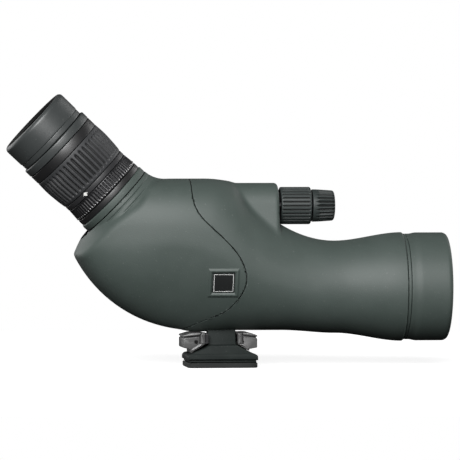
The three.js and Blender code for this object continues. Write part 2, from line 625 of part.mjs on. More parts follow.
const AXIS = OPTICAL_AXIS_Z;
const LENS_LIP = 2;
const LENS_LIP_LENGTH = 1.5;
const cellRearRadius = section(CELL_REAR_X, CASING_INNER_INSET).half - GAP;
const trackStart = BARREL_FRONT_X + GAP;
const trackRadius = SUNSHADE_RADIUS - SUNSHADE_WALL - GAP;
const glassSeat = OBJECTIVE_RADIUS + GAP;
const lipEndX = CELL_REAR_X + LENS_LIP_LENGTH;
add('objective_cell', turned([
  [CELL_REAR_X, glassSeat - LENS_LIP], [lipEndX, glassSeat - LENS_LIP], [lipEndX, glassSeat],
  [TRACK_END, glassSeat + 0.4], [TRACK_END, trackRadius - 0.5], [TRACK_END - 0.5, trackRadius],
  [trackStart, trackRadius], [trackStart, cellRearRadius], [CELL_REAR_X, cellRearRadius],
  [CELL_REAR_X, glassSeat - LENS_LIP],
], ROUND_LARGE, AXIS), 'blackMetal');
const REAR_LENS_RIM = 5.5;
const SPACER_LENGTH = 4;
const SPACER_WALL = 1.6;
const FRONT_LENS_RIM = 4;
const RETAINER_LENGTH = 2.5;
const rearLensX = lipEndX + GAP;
const spacerX = rearLensX + REAR_LENS_RIM + GAP;
const frontLensX = spacerX + SPACER_LENGTH + GAP;
const retainerX = frontLensX + FRONT_LENS_RIM + GAP;
const retainerEnd = retainerX + RETAINER_LENGTH;
const rearLens = lens(rearLensX, REAR_LENS_RIM, OBJECTIVE_RADIUS, 0.6, -1.2, ROUND_LARGE, AXIS);
add('objective_rear_lens', rearLens, 'glass');
const spacerEnd = spacerX + SPACER_LENGTH;
add('objective_spacer', ring(spacerX, spacerEnd, OBJECTIVE_RADIUS - SPACER_WALL, OBJECTIVE_RADIUS,
  ROUND_LARGE, AXIS), 'blackMetal');
const frontLens = lens(frontLensX, FRONT_LENS_RIM, OBJECTIVE_RADIUS, 0.8, 3, ROUND_LARGE, AXIS);
add('objective_front_lens', frontLens, 'glass');
add('objective_retainer', turned([
  [retainerX, OBJECTIVE_RADIUS - 1.2], [retainerEnd, OBJECTIVE_RADIUS - 0.6], [retainerEnd, OBJECTIVE_RADIUS],
  [retainerX, OBJECTIVE_RADIUS], [retainerX, OBJECTIVE_RADIUS - 1.2],
], ROUND_LARGE, AXIS), 'blackMetal');
const stopRing = ring(trackStart, SUNSHADE_START - GAP, trackRadius + GAP, SUNSHADE_RADIUS - 0.8,
  ROUND_LARGE, AXIS);
add('sunshade_stop', stopRing, 'blackRubber');

const sunshadeEnd = SUNSHADE_START + SUNSHADE_LENGTH;
const sunshadeInner = SUNSHADE_RADIUS - SUNSHADE_WALL;
const LIP = 1.1;
const GROOVE_X = SUNSHADE_START + 4.4;
const GROOVE_DEPTH = 0.35;
add('sunshade', turned([
  [SUNSHADE_START, sunshadeInner], [TRACK_END + 0.5, sunshadeInner], [TRACK_END + 1.6, sunshadeInner - LIP],
  [sunshadeEnd, sunshadeInner - LIP], [sunshadeEnd, SUNSHADE_RADIUS - 2],
  [sunshadeEnd - 0.7, SUNSHADE_RADIUS - 0.6], [sunshadeEnd - 2.2, SUNSHADE_RADIUS],
  [GROOVE_X + 1, SUNSHADE_RADIUS], [GROOVE_X, SUNSHADE_RADIUS - GROOVE_DEPTH],
  [GROOVE_X - 1, SUNSHADE_RADIUS],
  [SUNSHADE_START, SUNSHADE_RADIUS], [SUNSHADE_START, sunshadeInner],
], ROUND_LARGE, AXIS), 'armour');

// ---------------------------------------------------------------- eyepiece, in its own frame

function addToEyepiece(name, geometry, finish) {
  add(name, geometry, finish, eyepieceFrame);
}

const barrelBore = EYE_BARREL_RADIUS - EYE_BARREL_WALL;
const overBarrel = EYE_BARREL_RADIUS + GAP;
const overMount = MOUNT_RADIUS + GAP;
const mountEnd = LOCK_RING_START - GAP;
addToEyepiece('eyepiece_mount', ring(MOUNT_START, mountEnd, overBarrel, MOUNT_RADIUS), 'casting');
const collarEnd = BAND_START - GAP;
addToEyepiece('neck_collar', turned([
  [COLLAR_START, overMount], [collarEnd, overMount], [collarEnd, COLLAR_RADIUS - 0.6],
  [BAND_START - 1, COLLAR_RADIUS], [COLLAR_START + 0.7, COLLAR_RADIUS], [COLLAR_START, COLLAR_RADIUS - 0.7],
  [COLLAR_START, overMount],
]), 'armour');
addToEyepiece('base_band', ring(BAND_START, mountEnd, overMount, BAND_RADIUS), 'glossBlack');
const lockRingEnd = INDEX_BAND_START - GAP;
addToEyepiece('lock_ring', turned([
  [LOCK_RING_START, overBarrel], [lockRingEnd, overBarrel], [lockRingEnd, BAND_RADIUS - 0.6],
  [LOCK_RING_START + 0.8, BAND_RADIUS], [LOCK_RING_START, BAND_RADIUS - 0.3], [LOCK_RING_START, overBarrel],
]), 'blackMetal');
const indexBand = ring(INDEX_BAND_START, ZOOM_GRIP_START - GAP, overBarrel, BAND_RADIUS - 0.55);
addToEyepiece('index_band', indexBand, 'blackMetal');
const BARREL_TONGUE = 4.6;          // barrel inside the head
const HEAD_SOCKET = BARREL_TONGUE + GAP;
const eyeBarrel = ring(MOUNT_START + 2, HEAD_START + BARREL_TONGUE, barrelBore, EYE_BARREL_RADIUS);
addToEyepiece('eyepiece_barrel', eyeBarrel, 'blackMetal');

const ZOOM_SLEEVE_WALL = 1.7;
const sleeveRadius = overBarrel + ZOOM_SLEEVE_WALL;
const overSleeve = sleeveRadius + GAP;
const gripEnd = ZOOM_SCALE_START - GAP;
addToEyepiece('zoom_sleeve', ring(ZOOM_GRIP_START, HEAD_START - GAP, overBarrel, sleeveRadius), 'brass');
addToEyepiece('zoom_grip', turned([
  [ZOOM_GRIP_START, overSleeve], [gripEnd, overSleeve], [gripEnd, ZOOM_RADIUS - 0.2],
  [gripEnd - 3.9, ZOOM_RADIUS], [ZOOM_GRIP_START + 12.4, ZOOM_RADIUS + 0.1],
  [ZOOM_GRIP_START + 4.6, ZOOM_RADIUS - 0.5], [ZOOM_GRIP_START + 1, ZOOM_RADIUS - 1],
  [ZOOM_GRIP_START, ZOOM_RADIUS - 1.3], [ZOOM_GRIP_START, overSleeve],
]), 'blackRubber');
const scaleBand = ring(ZOOM_SCALE_START, HEAD_START - GAP, overSleeve, ZOOM_RADIUS - 0.2);
addToEyepiece('zoom_scale_band', scaleBand, 'glossBlack');

// Lenses inside the barrel
const stopRadius = barrelBore - GAP;
const FIELD_STOP_START = MOUNT_START + 6;
const FIELD_STOP_LENGTH = 2;
const FIELD_STOP_WALL = 3.5;
const fieldStopEnd = FIELD_STOP_START + FIELD_STOP_LENGTH;
const fieldStop = ring(FIELD_STOP_START, fieldStopEnd, stopRadius - FIELD_STOP_WALL, stopRadius, ROUND_SMALL);
addToEyepiece('field_stop', fieldStop, 'blackMetal');
addToEyepiece('field_lens', lens(fieldStopEnd + 5, 3, stopRadius, 0.4, 1.6), 'glass');
const ZOOM_CELL_START = fieldStopEnd + 20;
const ZOOM_CELL_LENGTH = 9;
const ZOOM_CELL_WALL = 1.8;
const zoomCellEnd = ZOOM_CELL_START + ZOOM_CELL_LENGTH;
const zoomCellBore = stopRadius - ZOOM_CELL_WALL;
addToEyepiece('zoom_cell', turned([
  [ZOOM_CELL_START, zoomCellBore - 1], [ZOOM_CELL_START + 1, zoomCellBore - 1],
  [ZOOM_CELL_START + 1, zoomCellBore], [zoomCellEnd, zoomCellBore], [zoomCellEnd, stopRadius],
  [ZOOM_CELL_START, stopRadius], [ZOOM_CELL_START, zoomCellBore - 1],
], ROUND_SMALL), 'blackMetal');
addToEyepiece('zoom_lens', lens(ZOOM_CELL_START + 3, 2.5, zoomCellBore - GAP, 1.4, 1.4), 'glass');

// Eyepiece head: the ring under the eyecup and the post that the eyecup climbs.
const headShoulder = EYECUP_START - GAP;
const headSocketEnd = HEAD_START + HEAD_SOCKET;
const postEnd = EYECUP_START + POST_LENGTH;
addToEyepiece('eyepiece_head', turned([
  [HEAD_START, overBarrel], [headSocketEnd, overBarrel], [headSocketEnd, barrelBore], [postEnd, barrelBore],
  [postEnd, POST_RADIUS], [headShoulder, POST_RADIUS], [headShoulder, COLLAR_RADIUS - 0.7],
  [headShoulder - 0.7, COLLAR_RADIUS], [HEAD_START + 0.5, COLLAR_RADIUS], [HEAD_START, COLLAR_RADIUS - 0.5],
  [HEAD_START, overBarrel],
]), 'armour');
const eyeLensStart = EYECUP_START + 1.9;
const EYE_LENS_RIM = 3;
const EYE_RETAINER_LENGTH = 2;
const EYE_RETAINER_WALL = 1.6;
const eyeRetainerStart = eyeLensStart + EYE_LENS_RIM + GAP;
const eyeRetainerEnd = eyeRetainerStart + EYE_RETAINER_LENGTH;
const eyeRetainerBore = stopRadius - EYE_RETAINER_WALL;
addToEyepiece('eye_lens', lens(eyeLensStart, EYE_LENS_RIM, stopRadius, 1.5, 0.8), 'glass');
addToEyepiece('eye_lens_retainer', turned([
  [eyeRetainerStart, eyeRetainerBore], [eyeRetainerEnd, eyeRetainerBore + 0.8], [eyeRetainerEnd, stopRadius],
  [eyeRetainerStart, stopRadius], [eyeRetainerStart, eyeRetainerBore],
], ROUND_SMALL), 'blackMetal');
const EYECUP_LIP = 1.8;
const EYECUP_BASE = 3.7;            // plain band at the foot of the eyecup
const eyecupLipStart = EYECUP_END - EYECUP_LIP;
const sleeveInner = POST_RADIUS + GAP;
const sleeveOuter = sleeveInner + EYECUP_SLEEVE_WALL;
const cupBore = sleeveOuter + GAP;
const cupMouth = POST_RADIUS - 0.6;
const cupBaseEnd = EYECUP_START + EYECUP_BASE;
const eyecupSleeve = ring(EYECUP_START, eyecupLipStart - GAP, sleeveInner, sleeveOuter);
addToEyepiece('eyecup_sleeve', eyecupSleeve, 'blackMetal');
addToEyepiece('eyecup', turned([
  [EYECUP_START, cupBore], [eyecupLipStart, cupBore], [eyecupLipStart, cupMouth],
  [EYECUP_END - 0.6, cupMouth], [EYECUP_END, cupMouth + 0.8],
  [EYECUP_END, EYECUP_RADIUS - 1.6], [EYECUP_END - 0.5, EYECUP_RADIUS - 0.5],
  [EYECUP_END - 1.6, EYECUP_RADIUS], [cupBaseEnd, EYECUP_RADIUS], [cupBaseEnd - 0.5, EYECUP_RADIUS - 0.5],
  [EYECUP_START, EYECUP_RADIUS - 0.5], [EYECUP_START, cupBore],
]), 'armour');

// ---------------------------------------------------------------- foot

const padTop = PAD_THICKNESS;
const plateBottom = padTop + GAP;
const socketTop = SOCKET_DEPTH + GAP;
const plateOutline = [
  [-FOOT_HALF_LENGTH, plateBottom], [FOOT_HALF_LENGTH, plateBottom],
  [FOOT_HALF_LENGTH, FOOT_TOP - PLATE_EDGE], [FOOT_HALF_LENGTH - 1.5 * PLATE_EDGE, FOOT_TOP],
  [FLARE_END, FOOT_TOP], [FOOT_NECK_FRONT_X + FLARE_STEP, FLARE_STEP_Z],
  [FOOT_NECK_FRONT_X, FLARE_TOP], [FOOT_NECK_REAR_X, FLARE_TOP],
  [FOOT_NECK_REAR_X - FLARE_STEP, FLARE_STEP_Z], [-FLARE_END, FOOT_TOP],
  [-FOOT_HALF_LENGTH + 1.5 * PLATE_EDGE, FOOT_TOP], [-FOOT_HALF_LENGTH, FOOT_TOP - PLATE_EDGE],
].map(([x, z]) => new THREE.Vector2(x, z));
const footNeckTop = BODY_BOTTOM + 13.4;
const footNeck = solid(box(
  FOOT_NECK_REAR_X, FOOT_NECK_FRONT_X, -FOOT_NECK_HALF_WIDTH, FOOT_NECK_HALF_WIDTH,
  FLARE_TOP - 3, footNeckTop)).subtract(bodySolid(ARMOUR));
let foot = solid(platedXZ(plateOutline, FOOT_HALF_WIDTH, 0, 0.6)).add(footNeck);
foot = foot.subtract(upright(INSERT_RADIUS + GAP, -1, socketTop + GAP));
for (const { name, x } of FOOT_SCREWS) {
  foot = foot.subtract(screwAt(x, GAP));
  add(name, screwAt(x, 0), 'steel');
}
add('foot', foot, 'armour');
const padShape = new THREE.Shape();
padShape.moveTo(-FOOT_HALF_LENGTH, 0);
padShape.lineTo(FOOT_HALF_LENGTH, 0);
padShape.lineTo(FOOT_HALF_LENGTH, padTop);
padShape.lineTo(-FOOT_HALF_LENGTH, padTop);
add('foot_pad', solid(platedXZ(padShape, FOOT_HALF_WIDTH)).subtract(upright(INSERT_RADIUS + GAP, -1, FAR)),
  'blackRubber');
const insert = upright(INSERT_RADIUS, GAP, socketTop).subtract(upright(SOCKET_RADIUS, -1, FAR));
add('tripod_insert', insert, 'steel');

// Clamp jaws: grey castings that grip the foot's neck from both ends, under the body.
const JAW_HALF_WIDTH = 13;
const JAW_REACH = { rear: 15.4, front: 12 };
const JAW_HEEL = 4.7;
const jawTop = BODY_BOTTOM - 0.9;
const heelTop = FOOT_TOP + 2.4;
function jawOutline(direction, neckX, reach) {
  const inner = neckX + direction * GAP;
  const outer = neckX + direction * reach;
  const heel = outer - direction * JAW_HEEL;
  const flareStart = Math.abs(neckX) + FLARE_STEP;
  const share = (Math.abs(heel) - flareStart) / (FLARE_END - flareStart);
  const heelFoot = lerp(FLARE_STEP_Z, FOOT_TOP, Math.min(share, 1)) + GAP;
  return [
    [inner, jawTop], [outer - direction * 5, jawTop], [outer, jawTop - 1.6], [outer, heelTop + 0.8],
    [heel, heelTop], [heel, heelFoot], [neckX + direction * FLARE_STEP, FLARE_STEP_Z + GAP],
    [inner, FLARE_TOP + GAP],
  ].map(([x, z]) => new THREE.Vector2(x, z));
}
const belowBody = bodySolid(-GAP);
for (const [name, direction, neckX, reach] of [
  ['clamp_jaw_rear', -1, FOOT_NECK_REAR_X, JAW_REACH.rear],
  ['clamp_jaw_front', 1, FOOT_NECK_FRONT_X, JAW_REACH.front],
]) {
  const jaw = solid(platedXZ(jawOutline(direction, neckX, reach), JAW_HALF_WIDTH));
  add(name, jaw.subtract(belowBody), 'greyCasting');
}

export default scope;
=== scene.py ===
import json
import math
from functools import partial

import bmesh
import bpy
import numpy as np
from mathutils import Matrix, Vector


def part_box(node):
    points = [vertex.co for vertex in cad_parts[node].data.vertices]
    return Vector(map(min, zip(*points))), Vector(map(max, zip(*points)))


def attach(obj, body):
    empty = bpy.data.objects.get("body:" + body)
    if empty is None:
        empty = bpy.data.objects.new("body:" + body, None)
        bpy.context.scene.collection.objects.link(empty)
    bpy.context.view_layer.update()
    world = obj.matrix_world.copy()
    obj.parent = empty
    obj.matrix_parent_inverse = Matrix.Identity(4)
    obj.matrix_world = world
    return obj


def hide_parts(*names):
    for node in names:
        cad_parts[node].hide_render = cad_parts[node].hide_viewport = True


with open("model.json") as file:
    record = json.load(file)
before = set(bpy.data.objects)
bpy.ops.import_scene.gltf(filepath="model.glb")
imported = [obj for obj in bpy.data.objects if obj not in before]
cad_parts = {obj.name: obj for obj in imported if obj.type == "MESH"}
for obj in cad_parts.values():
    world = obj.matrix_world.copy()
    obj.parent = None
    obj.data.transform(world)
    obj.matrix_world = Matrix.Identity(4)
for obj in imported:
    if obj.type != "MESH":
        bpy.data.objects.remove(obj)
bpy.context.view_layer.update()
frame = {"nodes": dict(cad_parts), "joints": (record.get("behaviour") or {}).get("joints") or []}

nodes = frame["nodes"]
MM = 0.001

# ---------------------------------------------------------------- camera, floor and light
# A long lens from the scope's right-hand side, a little behind and above it, over a plain white floor.
# One large soft lamp stands in front and two stand wide on the far side, so that the far side reads as well.
CAMERA_AZIMUTH = -6.7
CAMERA_ELEVATION = 1.3
CAMERA_DISTANCE = 3.0
VIEW_WIDTH = 0.2705
CAMERA_TARGET = Vector((0.0060, 0.0, 0.0803))
LAMP_TARGET = Vector((0.0, 0.0, 0.08))
AMBIENT_LIGHT = 0.025
WHITE = (1, 1, 1, 1)
FLOOR_RADIUS = 0.5
FLOOR_DROP = 0.0002
FLOOR_GLOW = 0.78
FLOOR_SEEN = (0.5, 0.5, 0.5, 1)
FLOOR_BOUNCE = (0.03, 0.03, 0.03, 1)


def direction(azimuth, elevation):
    a, e = math.radians(azimuth), math.radians(elevation)
    return Vector((math.sin(a) * math.cos(e), -math.cos(a) * math.cos(e), math.sin(e)))


def aimed(name, data, target, azimuth, elevation, distance):
    """A camera or lamp that points at its target from a distance."""
    holder = bpy.data.objects.new(name, data)
    bpy.context.scene.collection.objects.link(holder)
    holder.location = target + direction(azimuth, elevation) * distance
    holder.rotation_mode = "QUATERNION"
    holder.rotation_quaternion = (target - holder.location).to_track_quat("-Z", "Y")
    return holder


optics = bpy.data.cameras.new("camera")
optics.sensor_width = 36.0
optics.lens = optics.sensor_width * CAMERA_DISTANCE / VIEW_WIDTH
optics.clip_start = 0.05
optics.clip_end = 50.0
camera = aimed("camera", optics, CAMERA_TARGET, CAMERA_AZIMUTH, CAMERA_ELEVATION, CAMERA_DISTANCE)
bpy.context.scene.camera = camera


def softbox(name, azimuth, elevation, distance, size, watts):
    lamp = bpy.data.lights.new(name, "AREA")
    lamp.shape = "DISK"
    lamp.size = size
    lamp.energy = watts
    aimed(name, lamp, LAMP_TARGET, azimuth, elevation, distance).visible_camera = False


softbox("front_softbox", -14, 26, 2.2, 1.5, 90)
softbox("far_front_softbox", 120, 14, 2.6, 2.4, 32)
softbox("far_rear_softbox", 228, 14, 2.6, 2.4, 32)


def wire(tree, node, values):
    """Links or sets a node's inputs, each picked by its name or number."""
    for key, value in dict(values).items():
        if isinstance(value, bpy.types.NodeSocket):
            tree.links.new(value, node.inputs[key])
        else:
            node.inputs[key].default_value = value


def add_node(tree, kind, values=(), **settings):
    """Adds a node with its settings made and its inputs wired, and gives its outputs."""
    node = tree.nodes.new(kind)
    for setting, value in settings.items():
        setattr(node, setting, value)
    wire(tree, node, values)
    return node.outputs


def maths(tree, operation, *values):
    return add_node(tree, "ShaderNodeMath", enumerate(values), operation=operation)[0]


def end_split(tree, lighting, seen, output):
    """Ends a tree in one shader that camera and transmission rays see, and one that lights the rest."""
    ray = add_node(tree, "ShaderNodeLightPath")
    seen_directly = maths(tree, "MAXIMUM", ray["Is Camera Ray"], ray["Is Transmission Ray"])
    pick = add_node(tree, "ShaderNodeMixShader", {0: seen_directly, 1: lighting, 2: seen})
    add_node(tree, output, {"Surface": pick[0]})


world = bpy.data.worlds.new("studio")
bpy.context.scene.world = world
world.use_nodes = True
sky = world.node_tree
sky.nodes.clear()
ambient = add_node(sky, "ShaderNodeBackground", {"Color": WHITE, "Strength": AMBIENT_LIGHT})
surround = add_node(sky, "ShaderNodeBackground", {"Color": WHITE, "Strength": 1.0})
end_split(sky, ambient[0], surround[0], "ShaderNodeOutputWorld")

bpy.ops.mesh.primitive_circle_add(vertices=96, radius=FLOOR_RADIUS, fill_type="NGON")
floor = bpy.context.object
floor.name = "floor"
floor.location = (0, 0, -FLOOR_DROP)
floor_finish = bpy.data.materials.new("floor")
floor_finish.use_nodes = True
paper = floor_finish.node_tree
paper.nodes.clear()
shadowed = add_node(paper, "ShaderNodeBsdfDiffuse", {"Color": FLOOR_SEEN})
glow = add_node(paper, "ShaderNodeEmission", {"Strength": FLOOR_GLOW})
both = add_node(paper, "ShaderNodeAddShader", {0: shadowed[0], 1: glow[0]})
bounce = add_node(paper, "ShaderNodeBsdfDiffuse", {"Color": FLOOR_BOUNCE})
end_split(paper, bounce[0], both[0], "ShaderNodeOutputMaterial")
floor.data.materials.append(floor_finish)
bpy.context.scene.view_settings.view_transform = "Standard"

# ---------------------------------------------------------------- armour skins
# Two satin rubber skins are moulded over the casing: a rear one with the neck for the eyepiece, and a front
# one with the arch over the focus shaft and the barrel. They meet in a fine rolled seam.
# Both are one smooth form, cut along the seam, with rolled edges and a 1.6 mm wall.
OPTICAL_Z = 46.7
BODY_TOP = 110.6
BODY_BOTTOM = 21.3
BODY_HALF_WIDTH = 33.1
MIDDLE_ROUND = 9.0
BARREL_ROUND = 1.2
KEEL_ROUND_SQUARED = 1.5
HUMP_START_X = -9.3
HUMP_FALL = 0.0078
SADDLE_RISE = 0.0095
KEEL_SAG = 0.8
ROUND_POWER = 2
REAR_CROWN_POWER = 2.6
CROWN_POWER = 1.8
FLANK_POWER = 1.58
WIDEST_Z = 77
REAR_RADIUS = 80.0
REAR_CENTRE_X = -14.4
SHOULDER_X = -14.7
SHOULDER_Z = 39.1
SHOULDER_RADIUS = 76.5
SHOULDER_FALL = 0.0135
WAIST_X = 68.0
WAIST_RADIUS = 27.25
BELL_RADIUS = 32.1
BARREL_FRONT_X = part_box("front_armour")[1].x / MM
ARCH_RADIUS = 14.5
ARCH_CENTRE_Z = 93.5
ARCH_FOOT_Z = 60.0
ARCH_FOOT_HALF = 20.3
ARCH_FRONT_X = 33.8
ARCH_REAR_X = -12.0
SKIN = 1.6
SEAM_HALF = 0.17
EDGE_ROLL = 0.3
NECK_FILLET = 1.4
NECK_TOP_FILLET = 4.0
joints = {joint["name"]: joint for joint in frame["joints"]}
EYE_AXIS = Vector(joints["zoom_turn"]["axis"]).normalized()
if EYE_AXIS.z < 0:
    EYE_AXIS = -EYE_AXIS
EYE_CENTRE = Vector(joints["zoom_turn"]["pos_m"])
EYE_CENTRE = EYE_CENTRE + EYE_AXIS * ((OPTICAL_Z * MM - EYE_CENTRE.z) / EYE_AXIS.z)
EYE_UP = Vector((EYE_AXIS.z, 0, -EYE_AXIS.x))
COLLAR_START = 73.6
NECK_END = COLLAR_START - 0.3
NECK_PROFILE = ([40, 25.6], [62, 25.6], [66, 25.2], [70, 24.7], [NECK_END, 24.25], [90, 23.5])


def swell(value, low, high):
    share = np.clip((value - low) / (high - low), 0, 1)
    return share * share * (3 - 2 * share)


def lerp(a, b, share):
    return a + (b - a) * share


def soft_max(a, b, blend):
    near = np.maximum(blend - np.abs(a - b), 0) / blend
    return np.maximum(a, b) + near * near * blend / 4


def soft_min(a, b, blend):
    return -soft_max(-a, -b, blend)


def hull_depth(x, y, z):
    """Negative inside the hull: rounded upright sections that change along the scope."""
    behind = np.maximum(REAR_CENTRE_X - x, 0)
    roundness = np.maximum(1 - (behind / REAR_RADIUS) ** 2, 1e-4)
    flare = swell(x, WAIST_X, BARREL_FRONT_X)
    barrel = lerp(WAIST_RADIUS, BELL_RADIUS, flare)
    hump = BODY_TOP - HUMP_FALL * np.clip(x - HUMP_START_X, 0, 50) ** 2
    saddle = OPTICAL_Z + WAIST_RADIUS + SADDLE_RISE * np.maximum(WAIST_X - x, 0) ** 2
    top = np.where(x >= WAIST_X, OPTICAL_Z + barrel, soft_min(hump, saddle, 3.0))
    underside = lerp(BODY_BOTTOM, OPTICAL_Z - WAIST_RADIUS, swell(x, 36, WAIST_X))
    rear_under = BODY_BOTTOM + REAR_RADIUS - REAR_RADIUS * np.sqrt(roundness)
    bottom = np.where(x >= WAIST_X, OPTICAL_Z - barrel, np.where(behind > 0, rear_under, underside))
    bottom = bottom - KEEL_SAG * swell(x, -26, -16) * (1 - swell(x, -4, 8))
    half = lerp(BODY_HALF_WIDTH, WAIST_RADIUS, swell(x, REAR_CENTRE_X, WAIST_X)) * roundness ** 0.4
    half = np.where(x >= WAIST_X, barrel, half)
    top_power = lerp(lerp(REAR_CROWN_POWER, CROWN_POWER, swell(x, -9, 18)), ROUND_POWER, swell(x, 25, 60))
    bottom_power = lerp(lerp(ROUND_POWER, FLANK_POWER, swell(x, -80, -30)), ROUND_POWER, swell(x, -20, 50))
    middle = np.clip(lerp(WIDEST_Z, OPTICAL_Z, swell(x, -30, 60)), bottom + 1, top - 1)
    above = swell(z - middle, -9, 9)
    reach = lerp(middle - bottom, top - middle, above)
    power = lerp(bottom_power, top_power, above)
    across = np.sqrt(y * y + KEEL_ROUND_SQUARED)
    easing = lerp(MIDDLE_ROUND, BARREL_ROUND, swell(x, 15, 60))
    rise = np.abs(z - middle)
    upward = np.where(rise < easing, (rise ** 2 + easing ** 2) / (2 * easing), rise)
    size = ((across / half) ** power + (upward / reach) ** power) ** (1 / power)
    away = np.sqrt(across ** 2 + upward ** 2)
    return away - away / size


def arch_depth(x, y, z):
    """Negative inside the arch that covers the focus shaft."""
    lean = math.atan((ARCH_FOOT_HALF - ARCH_RADIUS) / (ARCH_CENTRE_Z - ARCH_FOOT_Z))
    over = z - ARCH_CENTRE_Z
    flank = np.abs(y) * math.cos(lean) + over * math.sin(lean) - ARCH_RADIUS
    crown = np.sqrt(y * y + over ** 2) - ARCH_RADIUS
    side = np.where(over * math.cos(lean) > np.abs(y) * math.sin(lean), crown, flank)
    ends = np.maximum(x - ARCH_FRONT_X, ARCH_REAR_X - x)
    return soft_max(soft_max(side, ends, 2.4), ARCH_FOOT_Z - z, 2.0)


def neck_depth(x, y, z):
    """Negative inside the neck, which is round about the eyepiece axis."""
    across_x = x - EYE_CENTRE.x / MM
    across_z = z - EYE_CENTRE.z / MM
    along = across_x * EYE_AXIS.x + across_z * EYE_AXIS.z
    up = across_x * EYE_UP.x + across_z * EYE_UP.z
    places, radii = zip(*NECK_PROFILE)
    return np.maximum(np.sqrt(up * up + y * y) - np.interp(along, places, radii), 40 - along)


def trunk_depth(x, y, z):
    """The body without the neck."""
    shoulder = np.sqrt(np.minimum(x - SHOULDER_X, 0) ** 2 + (z - SHOULDER_Z) ** 2) - SHOULDER_RADIUS
    shoulder = shoulder + SHOULDER_FALL * y * y * swell(-x, 30, 52)
    form = soft_max(hull_depth(x, y, z), shoulder, lerp(4.0, 2.0, swell(-x, 30, 52)))
    return soft_min(form, arch_depth(x, y, z), 2.2)


def body_depth(x, y, z):
    """The whole body, with the neck blended in more softly along its top."""
    upward = (x - EYE_CENTRE.x / MM) * EYE_UP.x + (z - EYE_CENTRE.z / MM) * EYE_UP.z
    on_top = swell(upward, 2, 12) * (1 - swell(np.abs(y), 5, 16))
    return soft_min(trunk_depth(x, y, z), neck_depth(x, y, z), lerp(NECK_FILLET, NECK_TOP_FILLET, on_top))


def slope_of(depth, points):
    reach = 0.05
    x, y, z = points.T
    slope = np.empty_like(points)
    for axis, (dx, dy, dz) in enumerate(np.eye(3) * reach):
        slope[:, axis] = (depth(x + dx, y + dy, z + dz) - depth(x - dx, y - dy, z - dz)) / (2 * reach)
    return slope


def outward_of(depth, points):
    slope = slope_of(depth, points)
    return slope / np.linalg.norm(slope, axis=1)[:, None]


def settle(depth, points, rounds):
    """Moves points onto the surface where depth is zero."""
    for _ in range(rounds):
        slope = slope_of(depth, points)
        steepness = np.maximum((slope ** 2).sum(1), 1e-3)
        points = points - slope * (depth(*points.T) / steepness)[:, None]
    return points


def skin_of(depth, low, high, step):
    """Even quads over the surface where depth is zero, the same on both sides of the middle plane."""
    xs = np.arange(low[0], high[0], step)
    ys = np.arange(-step / 2, high[1], step)
    zs = np.arange(low[2], high[2], step)
    inside = depth(xs[:, None, None], ys[None, :, None], zs[None, None, :]) < 0
    corners = [inside[i:len(xs) - 1 + i, j:len(ys) - 1 + j, k:len(zs) - 1 + k]
               for i in (0, 1) for j in (0, 1) for k in (0, 1)]
    crossed = np.any(corners, axis=0) & ~np.all(corners, axis=0)
    number = np.full(crossed.shape, -1)
    number[crossed] = np.arange(crossed.sum())
    place = np.argwhere(crossed)
    points = np.stack([xs[place[:, 0]], ys[place[:, 1]], zs[place[:, 2]]], 1) + step / 2
    on_middle = place[:, 1] == 0
    quads = []
    for axis in range(3):
        here = np.take(inside, range(inside.shape[axis] - 1), axis)
        there = np.take(inside, range(1, inside.shape[axis]), axis)
        first, second = [(1, 2), (2, 0), (0, 1)][axis]
        edges = np.argwhere(here != there)
        edges = edges[(edges[:, first] > 0) & (edges[:, second] > 0)]
        edges = edges[(edges[:, first] < crossed.shape[first]) & (edges[:, second] < crossed.shape[second])]
        outward = here[tuple(edges.T)]
        ring = []
        for back_first, back_second in ((1, 1), (0, 1), (0, 0), (1, 0)):
            cell = edges.copy()
            cell[:, first] -= back_first
            cell[:, second] -= back_second
            ring.append(number[tuple(cell.T)])
        ring = np.stack(ring, 1)
        ring[~outward] = ring[~outward][:, ::-1]
        quads.append(ring)
    quads = np.concatenate(quads)
    quads = quads[(quads >= 0).all(1)]
    pairs = np.concatenate([quads[:, [i, (i + 1) % 4]] for i in range(4)])
    pairs = np.concatenate([pairs, pairs[:, ::-1]])
    points[on_middle, 1] = 0
    points = settle(depth, points, 2)
    for _ in range(4):
        total = np.zeros_like(points)
        count = np.bincount(pairs[:, 0], minlength=len(points))
        for axis in range(3):
            total[:, axis] = np.bincount(pairs[:, 0], points[pairs[:, 1], axis], len(points))
        mean = total / np.maximum(count, 1)[:, None]
        mean[on_middle, 1] = 0
        points = settle(depth, lerp(points, mean, 0.6), 1)
    points[on_middle, 1] = 0
    points = settle(depth, points, 3)
    points[on_middle, 1] = 0
    twin = np.arange(len(points))
    twin[~on_middle] = len(points) + np.arange((~on_middle).sum())
    mirrored = points[~on_middle] * np.array([1, -1, 1])
    return np.concatenate([points, mirrored]), np.concatenate([quads, twin[quads][:, ::-1]]).tolist()


SEAM_COURSE = (
    (125, -18), (111, -18.9), (103, -19.2), (96, -18.2), (90.6, -15.7), (86.4, -12.3), (82.4, -8.1),
    (77.2, -2.6), (71.4, 3.2), (64.6, 8.4), (57.1, 11.6), (51.6, 12.3), (44.7, 10.6), (38.4, 6.5), (31.6, -1),
    (27, -12), (20, -27), (12, -45))


def seam_x(z):
    """Where the seam crosses height z, on a smooth curve through its course."""
    heights, places = np.array(SEAM_COURSE[::-1]).T
    slopes = np.gradient(places, heights)
    spot = np.clip(np.searchsorted(heights, z) - 1, 0, len(heights) - 2)
    width = heights[spot + 1] - heights[spot]
    share = np.clip((z - heights[spot]) / width, 0, 1)

    def from_end(end, part):
        pull = width * slopes[end] * (1 if end is spot else -1)
        return (1 + 2 * part) * (1 - part) ** 2 * places[end] + part * (1 - part) ** 2 * pull

    return from_end(spot, share) + from_end(spot + 1, 1 - share)


